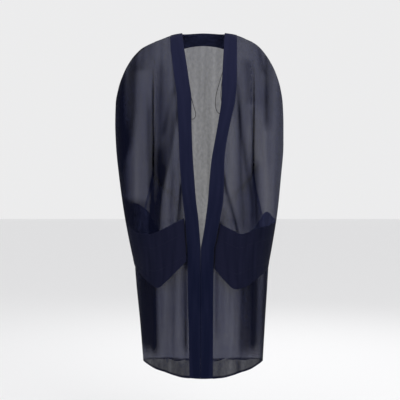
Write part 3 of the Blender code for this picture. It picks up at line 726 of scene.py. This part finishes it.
class finishMaker:
    def __init__(self, name, look):
        self.material = bpy.data.materials.new(name)
        self.material.use_nodes = True
        self.tree = self.material.node_tree
        self.shader = self.tree.nodes["Principled BSDF"]
        gloss, nap, napRoughness = look["gloss"], look["nap"], look["napRoughness"]
        self.set(Specular_IOR_Level=gloss, Sheen_Weight=nap, Sheen_Roughness=napRoughness)

    def node(self, kind, settings=None, sockets=None, output=0):
        made = self.tree.nodes.new(kind)
        for key, value in (settings or {}).items():
            setattr(made, key, value)
        for key, value in (sockets or {}).items():
            self.feed(made.inputs[key], value)
        return wire(self, made.outputs[output])

    def feed(self, socket, value):
        if isinstance(value, wire):
            self.tree.links.new(value.socket, socket)
        else:
            socket.default_value = value

    def set(self, **values):
        for socket, value in values.items():
            self.feed(self.shader.inputs[socket.replace("_", " ")], value)

    def place(self):  # across and down the cloth, in metres
        where = self.node("ShaderNodeUVMap", {"uv_map": "cloth"})
        parts = self.tree.nodes.new("ShaderNodeSeparateXYZ")
        self.feed(parts.inputs[0], where)
        return wire(self, parts.outputs[0]), wire(self, parts.outputs[1])

    def read(self, name):  # one of the cloth's own values
        return self.node("ShaderNodeAttribute", {"attribute_name": name}, {}, "Fac")

    def noise(self, u, v, scales, detail=3.0):  # scales are to the metre, across and down
        spot = self.node("ShaderNodeCombineXYZ", {}, {0: u * scales[0], 1: v * scales[1]})
        return self.node("ShaderNodeTexNoise", {}, {"Vector": spot, "Scale": 1.0, "Detail": detail})

    def blend(self, share, first, second):
        settings = {"data_type": "RGBA", "clamp_factor": True}
        return self.node("ShaderNodeMix", settings, {"Factor": share, 6: first, 7: second}, 2)

    def bump(self, height, distance):
        return self.node("ShaderNodeBump", {}, {"Height": height, "Distance": distance})


sheerLook = {
    # both navy: bunched is darkened with painted shade, flat is lightened with painted light coming
    # through the cloth
    "bunched": (0.0022, 0.0030, 0.0115, 1.0),
    "flat": (0.0220, 0.0255, 0.0610, 1.0),
    "roughness": 0.72,
    "gloss": 0.02,
    "nap": 0.004,
    "napRoughness": 0.45,
    "threads": 850.0,  # to the metre, as are the next three
    "slubs": (260.0, 14.0),
    "clouds": (16.0, 7.0),
    "mottles": (95.0, 60.0),
    # how much each changes the cover of the cloth
    "weaveCover": 0.13,
    "slubCover": 0.182,
    "mottleCover": 0.832,
    "cloudCover": 0.08,
    # and its colour, which turns from bunched to flat as the cover falls: bunched is painted shade, the
    # dark of cloth in folds, and flat paints the pale blue light that comes through open cloth
    "opening": (4.2, -0.12),  # its rate and start
    "slubColour": 0.3,
    "mottleColour": 0.7,
    "cloudColour": 0.5,
    "slubRelief": 0.8,
    "relief": 0.00025,
}
crepeLook = {
    "dark": (0.0044, 0.0062, 0.0205),
    "light": (0.0145, 0.0160, 0.0410),
    "shade": 1.0,
    "gloss": 0.02,
    "nap": 0.004,
    "napRoughness": 0.50,
    "threads": 620.0,
    "twillSlope": 0.6,
    "grain": (900.0, 420.0),
    "streaks": (42.0, 4.0),
    "streakColour": (1.1, -0.45),  # its rate and start
    "worn": 0.9,  # painted light: how much lighter it is at the shoulder, where the light falls from above
    "fades": 1.1,  # metres down from the shoulder over which that painted light runs out
    "roughness": (0.12, 0.56),  # over the streaks, its rate and start
    "twillRelief": 0.35,
    "relief": 0.0003,
}
cuffLook = {
    "shade": 0.58,
    "streakColour": (1.8, -0.85),
    "paler": 3.2,  # painted shade: how much lighter, to the metre, the cuff grows from its outer fold, which turns from the light, to the inner one
}
threadLook = {
    "dark": (0.006, 0.009, 0.028, 1.0),
    "light": (0.016, 0.021, 0.050, 1.0),
    "twist": 2600.0,
    "plies": 2.0,
    "roughness": 0.55,
    "gloss": 0.3,
    "nap": 0.05,
    "napRoughness": 0.5,
    "relief": 0.0002,
}
cordLook = threadLook | {
    "dark": (0.005, 0.005, 0.006, 1.0),
    "light": (0.022, 0.021, 0.022, 1.0),
    "twist": 1900.0,
}


def makeSheer():
    look = sheerLook
    made = finishMaker("sheer_cloth", look)
    u, v = made.place()
    turn = fullTurn * look["threads"]
    weave = (u * turn).sine() * (v * turn).sine()
    slub = made.noise(u, v, look["slubs"]) - 0.5
    cloud = made.noise(u, v, look["clouds"], detail=2.0) - 0.5
    mottle = made.noise(u, v, look["mottles"], detail=4.0) - 0.5
    cover, close = made.read("cover"), made.read("close")
    loose = weave * look["weaveCover"] + slub * look["slubCover"] + mottle * look["mottleCover"]
    alpha = cover + (loose * (1.0 - cover) + cloud * look["cloudCover"]) * cover
    # painted light and shade: the colour runs from painted shade to painted light as the close cover
    # falls; slubs, mottles and clouds add random tone
    rate, start = look["opening"]
    openLightAndTone = (1.0 - close) * rate + start + slub * look["slubColour"]
    openLightAndTone = openLightAndTone + mottle * look["mottleColour"] + cloud * look["cloudColour"]
    made.set(
        Base_Color=made.blend(openLightAndTone, look["bunched"], look["flat"]),
        Alpha=alpha.between(0.0, 1.0),
        Roughness=look["roughness"],
        Normal=made.bump(weave + slub * look["slubRelief"], look["relief"]),
    )
    return made.material


def makeCrepe(name, cuff=None):
    look = crepeLook | (cuff or {})
    made = finishMaker(name, look)
    u, v = made.place()
    turn = fullTurn * look["threads"]
    twill = (u * turn + v * (turn * look["twillSlope"])).sine()
    grain = made.noise(u, v, look["grain"])
    streak = made.noise(u, v, look["streaks"], detail=2.0)
    if cuff:
        # painted shade: the cuff darkest at its outer fold and lighter towards the inner one
        change = u.size() * look["paler"]
    else:
        # painted light: the band lighter towards the shoulder, as lit from above
        change = (1.0 - v * (1.0 / look["fades"])).between(0.0, 1.0) * look["worn"]
    shades = [[part * look["shade"] for part in look[key]] + [1.0] for key in ("dark", "light")]
    rate, start = look["streakColour"]
    roughRate, roughStart = look["roughness"]
    made.set(
        Base_Color=made.blend(streak * rate + start + change, *shades),
        Roughness=streak * roughRate + roughStart,
        Normal=made.bump(twill * look["twillRelief"] + grain, look["relief"]),
    )
    return made.material


def makeThread(name, look):
    made = finishMaker(name, look)
    u, v = made.place()
    ply = (u * (fullTurn * look["plies"]) + v * look["twist"]).sine()
    made.set(
        Base_Color=made.blend(ply * 0.5 + 0.5, look["dark"], look["light"]),
        Roughness=look["roughness"],
        Normal=made.bump(ply, look["relief"]),
    )
    return made.material


finishOf = namedtuple("finishOf", "material slot")
sheerFinish = finishOf(makeSheer(), "sheer_navy")
crepeFinish = finishOf(makeCrepe("crepe_cloth"), "navy_crepe")
cuffFinish = finishOf(makeCrepe("cuff_crepe", cuffLook), "navy_crepe")
threadFinish = finishOf(makeThread("navy_thread", threadLook), "navy_crepe")
cordFinish = finishOf(makeThread("dark_cord", cordLook), "dark_cord")
print("finishes")

# ---- the two cord loops, each with its route out and down

cordStops = {
    "left": (
        (0.0830, -0.1530),
        (0.0827, -0.1562),
        (0.0812, -0.1640),
        (0.0745, -0.1850),
        (0.0630, -0.2250),
        (0.0524, -0.2640),
        (0.0479, -0.3043),
        (0.0524, -0.3323),
        (0.0617, -0.3450),
        (0.0711, -0.3433),
        (0.0775, -0.3310),
        (0.0765, -0.3110),
        (0.0710, -0.2800),
        (0.0725, -0.2400),
        (0.0785, -0.1950),
        (0.0868, -0.1650),
        (0.0895, -0.1562),
        (0.0904, -0.1530),
    ),
    "right": (
        (0.0660, -0.1870),
        (0.0656, -0.1902),
        (0.0641, -0.1990),
        (0.0594, -0.2388),
        (0.0517, -0.2762),
        (0.0407, -0.3169),
        (0.0325, -0.3478),
        (0.0379, -0.3660),
        (0.0485, -0.3697),
        (0.0590, -0.3600),
        (0.0630, -0.3380),
        (0.0640, -0.2900),
        (0.0670, -0.2350),
        (0.0714, -0.1990),
        (0.0730, -0.1902),
        (0.0737, -0.1870),
    ),
}
cordForm = {
    "diameter": 0.0026,
    "around": 12,
    "groove": 0.10,
    "strands": 3,
    "turns": 95,
    "ends": (0.0034, 0.0082, 0.0122),  # behind the cloth's face, where an end goes in
    "behind": 0.0140,
    "pointsEach": 24,
    "points": 420,
}


def smoothPath(points):
    points = np.array(points)
    padded = np.concatenate((points[:1] * 2 - points[1:2], points, points[-1:] * 2 - points[-2:-1]))
    fine = []
    for a, b, c, d in zip(padded, padded[1:], padded[2:], padded[3:]):
        for t in np.linspace(0, 1, cordForm["pointsEach"], endpoint=False):
            bend = (2 * a - 5 * b + 4 * c - d) * t**2 + (3 * b - a - 3 * c + d) * t**3
            fine.append(0.5 * (2 * b + (c - a) * t + bend))
    fine = np.array(fine + [points[-1]])
    along = reachAlong(fine)
    return pointsAt(np.linspace(0, along[-1], cordForm["points"]), along, fine)


def behindFront(out, z, behind, who):
    step = 0.001

    def face(out, z):
        return np.array((out, float(frontFace(out, z, who)), z))

    across = face(out + step, z) - face(out - step, z)
    down = face(out, z - step) - face(out, z + step)
    inward = -np.cross(down, across)
    return (face(out, z) + inward / np.linalg.norm(inward) * behind) * (who.sign, 1, 1)


def framesAlong(path):  # two directions square to the path, carried along without twist
    ahead = unit(np.gradient(path, axis=0))
    first = unit(np.cross(ahead[0], (0.0, 1.0, 0.0)))
    firsts = []
    for direction in ahead:
        first = unit(first - direction * first.dot(direction))
        firsts.append(first)
    firsts = np.array(firsts)
    return firsts, np.cross(ahead, firsts)


def tube(name, path, look, finish, cover=None):
    firsts, seconds = framesAlong(path)
    around, groove = look["around"], look["groove"]
    angle = np.linspace(0, fullTurn, around, endpoint=False)
    twist = np.linspace(0, look["turns"] * fullTurn, len(path))[:, None]
    rim = look["diameter"] / 2 * (1 - groove + groove * np.cos(look["strands"] * angle + twist))
    ring = firsts[:, None] * np.cos(angle)[:, None] + seconds[:, None] * np.sin(angle)[:, None]
    points = (path[:, None] + ring * rim[..., None]).reshape(-1, 3)
    index = np.arange(len(points)).reshape(len(path), around)
    index = np.concatenate((index, index[:, :1]), axis=1)
    faces = gridFaces(index, True)
    faces += [tuple(index[0, -2::-1].tolist()), tuple(index[-1, :-1].tolist())]
    along = reachAlong(path)[:, None]
    uvs = np.stack(np.broadcast_arrays(angle / fullTurn, along), axis=2).reshape(-1, 2)
    cover = None if cover is None else sewn(np.full(len(points), cover))
    return makePiece(name, points, faces, finish, uvs, cover)


def makeCord(who):
    stops, ends = cordStops[who.name], cordForm["ends"]
    behind = [*ends, *[cordForm["behind"]] * (len(stops) - 2 * len(ends)), *ends[::-1]]
    path = smoothPath([behindFront(*stop, depth, who) for stop, depth in zip(stops, behind)])
    cord = tube(f"cord_{who.name}", path, cordForm, cordFinish)
    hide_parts(f"cord_loop_{who.name}")


for who in sides:
    makeCord(who)

# ---- front and back panels

panel = {
    "rows": 320,
    "nearPower": 1.15,  # over 1, the rows lie closer together over the shoulder
    "settling": 12,  # rounds that bring the top row onto the shoulder
    "bandColumns": 12,
    "columns": 84,
    "backColumns": 180,
    "apart": 0.00015,  # of front and back on the shoulder seam
    "foldsTurn": (-0.80, -0.87),  # between these heights the upper folds give way to the lower ones
    "backShift": 2.0,
    "backWave": (0.006, (19, 0.6), (7, -0.9)),  # the back hem's unevenness
}
crepe = {
    "thickness": 0.0020,
    "seam": 0.0003,
    "rounding": 0.0025,
    "thinnest": 0.0005,
    "nearEdge": (0.0, 0.0005, 0.0014, 0.0030, 0.0060),
    "middle": (0.2, 0.8, 7),
    "bandWidth": 0.053,
}
# The fronts' hem is turned up, most of all in the middle. Their edge by the cuffs is folded double.
frontHem = {
    "cover": 0.945,
    "soft": 0.004,
    "middle": 0.078,
    "edge": 0.990,
    "edgeDeep": 0.007,
    "edgeSoft": 0.002,
}
besideCuff = {
    "cover": 0.965,
    "across": (0.011, 0.006),
    "high": (-0.775, -0.795),
    "low": (-0.985, -0.955),
}


def rowShares():
    return steps(panel["rows"])[:, None] ** panel["nearPower"]


def dressed(layer, x, y, z, away, flat, shift=0.0, keep=1.0):
    # a face with its finer folds, and how closely it covers
    lift, dense = strokeShares(layer, x, z)
    wave = ripples(x, z, shift)
    y = y + away * (lift + sheer["ripple"] * wave) * keep
    share = np.log(1 - flat) / np.log(1 - sheer["cover"])
    close = covered(dense, wave)
    cover = np.minimum(1 - (1 - close) ** share, sheer["mostCover"])
    return np.stack((x, y, z), axis=-1), np.stack((cover, np.maximum(cover, close)), axis=-1)


def frontGrid(who, shares):  # shares run from 0 to 1 over the band, and on to 2 at the side seam
    def places(z):
        edge, width, seamOut = edgeOut(z, who), bandWidth(z, who), bodyOut(z, who)
        onBand, beyond = np.clip(shares, 0, 1), np.clip(shares - 1, 0, 1)
        return edge + width * onBand + (seamOut - edge - width) * beyond

    top = np.zeros(len(shares))
    for _ in range(panel["settling"]):
        top = shoulderHeight(places(top), who)
    low = hemHeight(places(np.full(len(shares), form["hemSide"])), who)
    z = mix(top, low, rowShares())
    return places(z), z


def hemLine(out, who):
    share = out / bodyOut(form["hemSide"], who)
    rise = (lens(share, form["frontLens"]) + lens(share, form["backLens"])) / 2
    return hemHeight(out, who) + frontHem["middle"] * rise


def frontSurface(who, out, z):
    line, edge = hemLine(out, who), hemHeight(out, who) + frontHem["edgeDeep"]
    flat = sharedCover("panel", out, z, who)
    flat = mix(flat, frontHem["cover"], ease(z, line + frontHem["soft"], line))
    flat = mix(flat, frontHem["edge"], ease(z, edge, edge - frontHem["edgeSoft"]))
    beside = ease(out - sleeveInner(z, who), *besideCuff["across"])
    beside = beside * ease(z, *besideCuff["high"]) * ease(z, *besideCuff["low"])
    flat = mix(flat, besideCuff["cover"], beside)
    place = who.sign * out, frontFace(out, z, who), z
    upper, coverUpper = dressed("front", *place, -1, flat)
    lower, coverLower = dressed("lowFront", *place, -1, flat)
    turn = ease(z, *panel["foldsTurn"])[..., None]
    return mix(upper, lower, turn), mix(coverUpper, coverLower, turn)


def makeFront(who):
    shares = np.concatenate((steps(panel["bandColumns"]), 1 + steps(panel["columns"])[1:]))
    points, cover = frontSurface(who, *frontGrid(who, shares))
    points[..., 1] -= panel["apart"]
    points[0, :, 1] = -panel["apart"]
    piece = thinSheet(f"front_{who.name}", points, cover, who.sign < 0)
    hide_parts(f"front_panel_{who.name}")
    edge = points[-1, panel["bandColumns"] :]
    return piece, tube(f"front_hem_{who.name}", edge, rolledHem, crepeFinish)


def trimShares(width):  # places across a band, closer together where its edges turn over
    near = np.array(crepe["nearEdge"]) / width
    return np.concatenate((near, np.linspace(*crepe["middle"]), 1 - near[::-1]))


def makeTrim(name, stitchName, node, points, normals, shares, width, axis, flip):
    # a band over the face that it is sewn to; the axis is the grid's that runs across the band
    curl = 1 - np.clip(np.minimum(shares, 1 - shares) * width / crepe["rounding"], 0, 1)
    thick = mix(crepe["thinnest"], crepe["thickness"], np.sqrt(1 - curl**2))
    inner = points + normals * crepe["seam"]
    outer = inner + normals * thick.reshape((-1, 1, 1) if axis == 0 else (-1, 1))
    piece = thickSheet(name, outer, inner, crepeFinish, flip)
    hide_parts(node)
    insets = (stitch["inset"], -1 - stitch["inset"])
    lines = [(np.take(outer, inset, axis), np.take(normals, inset, axis)) for inset in insets]
    return piece, stitches(stitchName, lines)


def makeBand(who):
    shares = trimShares(crepe["bandWidth"])
    points, _ = frontSurface(who, *frontGrid(who, shares))
    normals = facing(points, -who.sign)
    names = f"band_{who.name}", f"band_stitches_{who.name}", f"front_band_{who.name}"
    return makeTrim(*names, points, normals, shares, crepe["bandWidth"], 1, who.sign < 0)


def bySide(x, read):  # what a reading gives on each side of the middle
    return np.where(x > 0, read(sides[1]), read(sides[0]))


def backSurface(x, z):
    y = bySide(x, lambda who: backFace(np.abs(x), z, who))
    return dressed("back", x, y, z, 1, sheer["cover"], panel["backShift"])


def backEdges(shares):
    out = np.abs(shares)
    tops = bySide(shares, lambda who: backTop(out * form["shoulderSeamOut"], who))
    lows = bySide(shares, lambda who: hemHeight(out * bodyOut(form["hemSide"], who), who))
    wave, *parts = panel["backWave"]
    for across, phase in parts:
        wave = wave * np.sin(across * shares + phase)
    return tops, lows + wave * (1 - shares**2)


def makeBack():
    shares = np.linspace(-1, 1, panel["backColumns"] + 1)
    z = mix(*backEdges(shares), rowShares())
    x = bySide(shares, lambda who: shares * bodyOut(z, who))
    points, cover = backSurface(x, z)
    points[..., 1] += panel["apart"]
    points[0, np.abs(x[0]) > form["neckOut"], 1] = panel["apart"]
    piece = thinSheet("back", points, cover, True)
    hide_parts("back_panel")
    return piece, tube("back_hem", points[-1], rolledHem, sheerFinish, rolledHem["backCover"])


neckBand = {"end": 0.1405, "drop": 0.050, "columns": 64, "onShoulder": 0.0003}


def makeNeckBand():
    across = np.linspace(-1, 1, neckBand["columns"] + 1) * neckBand["end"] / form["shoulderSeamOut"]
    shares = trimShares(neckBand["drop"])
    z = backEdges(across)[0] - neckBand["drop"] * shares[:, None]
    x = np.broadcast_to(across * form["shoulderSeamOut"], z.shape)
    points, _ = backSurface(x, z)
    points[0, np.abs(x[0]) > form["neckOut"], 1] = neckBand["onShoulder"]
    names = "neck", "neck_stitches", "neck_band"
    return makeTrim(*names, points, facing(points, 1), shares, neckBand["drop"], 0, True)


# ---- sleeves and cuffs

sleeve = {
    "columns": 84,
    "spacing": 1.35,  # over 1, the columns lie closer together at the outer fold
    "armholeRows": 120,
    "forearmRows": 56,
    "cuffRows": 48,
    "steps": 600,
    "smoothFold": 0.93,
}
cuffForm = {
    "wall": 0.0018,
    "topStitch": 0.004,
    "tuckStitch": 0.058,
    "hemStitch": 0.021,  # up from the low edge
    "hem": 0.024,
    "hemSoft": 0.001,
    "hemExtra": 0.0009,
}
sleeveAcross = 1 - (1 - steps(sleeve["columns"])) ** sleeve["spacing"]


def sleeveSection(frontZ, rearZ, who):
    walls, covers = [], []
    keep = ease(sleeveAcross, 1.0, sleeve["smoothFold"])
    for z, depthAt, layer, away in (
        (frontZ, sleeveFront, "front", -1),
        (rearZ, sleeveRear, "rear", 1),
    ):
        out = mix(sleeveInner(z, who), wingOut(z, who), sleeveAcross)
        flat = sharedCover(layer, out, z, who)
        place = who.sign * out, depthAt(out, z, who), z
        points, cover = dressed(layer, *place, away, flat, keep=keep)
        walls.append(points)
        covers.append(cover)
    middle = (covers[0][:, -1:] + covers[1][:, -1:]) / 2
    points = np.concatenate((walls[0], walls[1][:, -2::-1]), axis=1)
    return points, np.concatenate((covers[0][:, :-1], middle, covers[1][:, -2::-1]), axis=1)


def cuffEdges(who, which):
    return [curveOf(rows, who.name + which)(sleeveAcross) for rows in (cuffFront, cuffRear)]


def makeSleeve(who):
    top = float(shoulderHeight(form["shoulderSeamOut"], who))
    z = np.linspace(top, form["underarm"], sleeve["steps"])
    along = reachAlong(np.stack((wingOut(z, who), z), axis=1))
    armhole = np.interp(steps(sleeve["armholeRows"]) * along[-1], along, z)
    armhole = np.repeat(armhole[:, None], sleeve["columns"] + 1, axis=1)
    down = steps(sleeve["forearmRows"])[1:, None]
    heights = []
    for edge in cuffEdges(who, "Top"):
        heights.append(np.concatenate((armhole, mix(form["underarm"], edge, down))))
    points, cover = sleeveSection(*heights, who)
    points[0] = (who.sign * form["shoulderSeamOut"], 0.0, top)
    points[sleeve["armholeRows"] :, -1] = points[sleeve["armholeRows"] :, 0]
    name = f"sleeve_cloth_{who.name}"
    piece = thinSheet(name, points, cover, who.sign < 0, sleeve["armholeRows"])
    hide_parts(f"sleeve_{who.name}")
    return piece


def makeCuff(who):
    down = steps(sleeve["cuffRows"])[:, None]
    heights = [mix(top, low, down) for top, low in zip(cuffEdges(who, "Top"), cuffEdges(who, "Low"))]
    points, _ = sleeveSection(*heights, who)
    points[:, -1] = points[:, 0]
    across = np.roll(points[:, :-1], -1, axis=1) - np.roll(points[:, :-1], 1, axis=1)
    across = np.concatenate((across, across[:, :1]), axis=1)
    normals = unit(np.cross(across, np.gradient(points, axis=0))) * -who.sign
    fromLow = np.linalg.norm(points - points[-1:], axis=2)[..., None]
    hem, soft = cuffForm["hem"], cuffForm["hemSoft"]
    outer = points + normals * cuffForm["hemExtra"] * ease(fromLow, hem + soft, hem - soft)
    inner = points - normals * cuffForm["wall"]
    name = f"cuff_cloth_{who.name}"
    piece = thickSheet(name, outer, inner, cuffFinish, who.sign < 0, closed=True)
    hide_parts(f"cuff_{who.name}")
    height = float(reachAlong(points[:, 0])[-1])
    lines = []
    for drop in (cuffForm["topStitch"], cuffForm["tuckStitch"], height - cuffForm["hemStitch"]):
        lines.append((lineAt(outer, drop), lineAt(normals, drop)))
    return piece, stitches(f"cuff_stitches_{who.name}", lines)


# ---- seams, rolled hems and stitches

seam = {
    "half": 0.0035,
    "thick": 0.0007,
    "lift": 0.0004,
    "rows": 150,
    "cover": {"front": 0.42, "back": 0.20, "top": 0.5, "side": 0.4},
    "least": 0.02,
    "shows": (-0.12, -0.36),  # an armhole's seam begins at the first height, in full at the second
    "topRows": 50,
    "topEnds": (form["neckOut"] + 0.002, form["shoulderSeamOut"]),
    "topDown": 0.0006,
    "sideEnds": (-0.57, -1.368),
    "sideSteps": (0.0024, 0.0008, 0.0, 0.0008, 0.0024),  # shares of the way in from the side
}
rolledHem = {
    "diameter": 0.0030,
    "around": 8,
    "groove": 0.0,
    "strands": 1,
    "turns": 0,
    "backCover": 0.25,
}
stitch = {"spacing": 0.0040, "length": 0.0026, "width": 0.0005, "height": 0.0003, "inset": 3}


def ribbon(name, lines, away, flip, cover):  # a flat strip over lines of points, raised on one side
    points = np.stack(lines, axis=1)
    normals = facing(points, 1)
    normals = normals * np.sign(np.sum(normals * away, axis=-1, keepdims=True) + smallest)
    inner = points + normals * seam["lift"]
    outer = inner + normals * seam["thick"]
    return thickSheet(name, outer, inner, sheerFinish, flip, cover=cover)


def armholeSeam(who, face):
    z = np.linspace(seam["shows"][0], form["underarm"], seam["rows"])
    panelFace, sleeveFace = (frontFace, sleeveFront) if face == "front" else (backFace, sleeveRear)
    lines = []
    for off in (-seam["half"], -seam["half"] / 3, seam["half"] / 3, seam["half"]):
        depthAt = panelFace if off < 0 else sleeveFace
        out = bodyOut(z, who) + off
        lines.append(lineOf(who, out, depthAt(out, z, who), z))
    away = (0.0, -1.0 if face == "front" else 1.0, 0.0)
    cover = seam["cover"][face] * ease(z, *seam["shows"])[:, None] + seam["least"]
    flip = (who.sign < 0) == (face == "front")
    return ribbon(f"seam_armhole_{face}_{who.name}", lines, away, flip, cover)


def shoulderSeam(who):
    out = np.linspace(*seam["topEnds"], seam["topRows"])
    top = shoulderHeight(out, who)
    low = top - seam["topDown"]
    places = (frontFace(out, low, who), low), (0.0, top), (backFace(out, low, who), low)
    lines = [lineOf(who, out, *place) for place in places]
    name = f"seam_shoulder_{who.name}"
    return ribbon(name, lines, (0.0, 0.0, 1.0), who.sign > 0, seam["cover"]["top"])


def sideSeam(who):
    z = mix(*seam["sideEnds"], steps(seam["rows"] - 1))
    outs = [bodyOut(z, who) * (1 - step) for step in seam["sideSteps"]]
    lines = [lineOf(who, out, frontFace(out, z, who), z) for out in outs[:2]]
    lines.append(lineOf(who, outs[2], seamDepth(z), z))
    lines += [lineOf(who, out, backFace(out, z, who), z) for out in outs[3:]]
    name = f"seam_side_{who.name}"
    return ribbon(name, lines, (who.sign, 0.0, 0.0), who.sign < 0, seam["cover"]["side"])


def lineAt(grid, distance):  # the line that lies so far down a grid's columns
    columns = np.swapaxes(grid, 0, 1)
    return np.array([pointsAt([distance], reachAlong(column), column)[0] for column in columns])


def stitches(name, lines):  # running stitches along lines of points with their normals
    points, faces, uvs = [], [], []
    for path, normals in lines:
        along, half = reachAlong(path), stitch["length"] / 2
        middle = np.arange(stitch["spacing"], along[-1] - stitch["spacing"], stitch["spacing"])
        start, centre, end = [pointsAt(middle + off, along, path) for off in (-half, 0, half)]
        up = unit(pointsAt(middle, along, normals))
        across = unit(np.cross(end - start, up)) * stitch["width"] / 2
        top = centre + up * stitch["height"]
        base = sum(len(block) for block in points)
        block = np.stack((start, centre + across, top, centre - across, end), axis=1)
        points.append(block.reshape(-1, 3))
        for k in range(base, base + 5 * len(middle), 5):
            a, b, c, d, e = range(k, k + 5)
            faces += [(a, b, c), (a, c, d), (e, c, b), (e, d, c), (a, d, b), (e, b, d)]
        side = np.tile(np.linspace(0, 1, 5), len(middle))
        uvs.append(np.stack((side, np.repeat(middle, 5)), axis=1))
    points, uvs = np.concatenate(points), np.concatenate(uvs)
    return makePiece(name, points, faces, threadFinish, uvs, smooth=False)


# ---- the cloak put together

back, backHem = makeBack()
neck, neckStitches = makeNeckBand()
seams = {who.name: [armholeSeam(who, face) for face in ("front", "back")] for who in sides}
shoulders = [shoulderSeam(who) for who in sides]
for who, shoulder in zip(sides, shoulders):
    front, hem = makeFront(who)
    band, bandStitches = makeBand(who)
    sleevePiece = makeSleeve(who)
    cuff, cuffStitches = makeCuff(who)
    edges = [hem, shoulder, sideSeam(who)]
    print("cloth of the", who.name, "side")
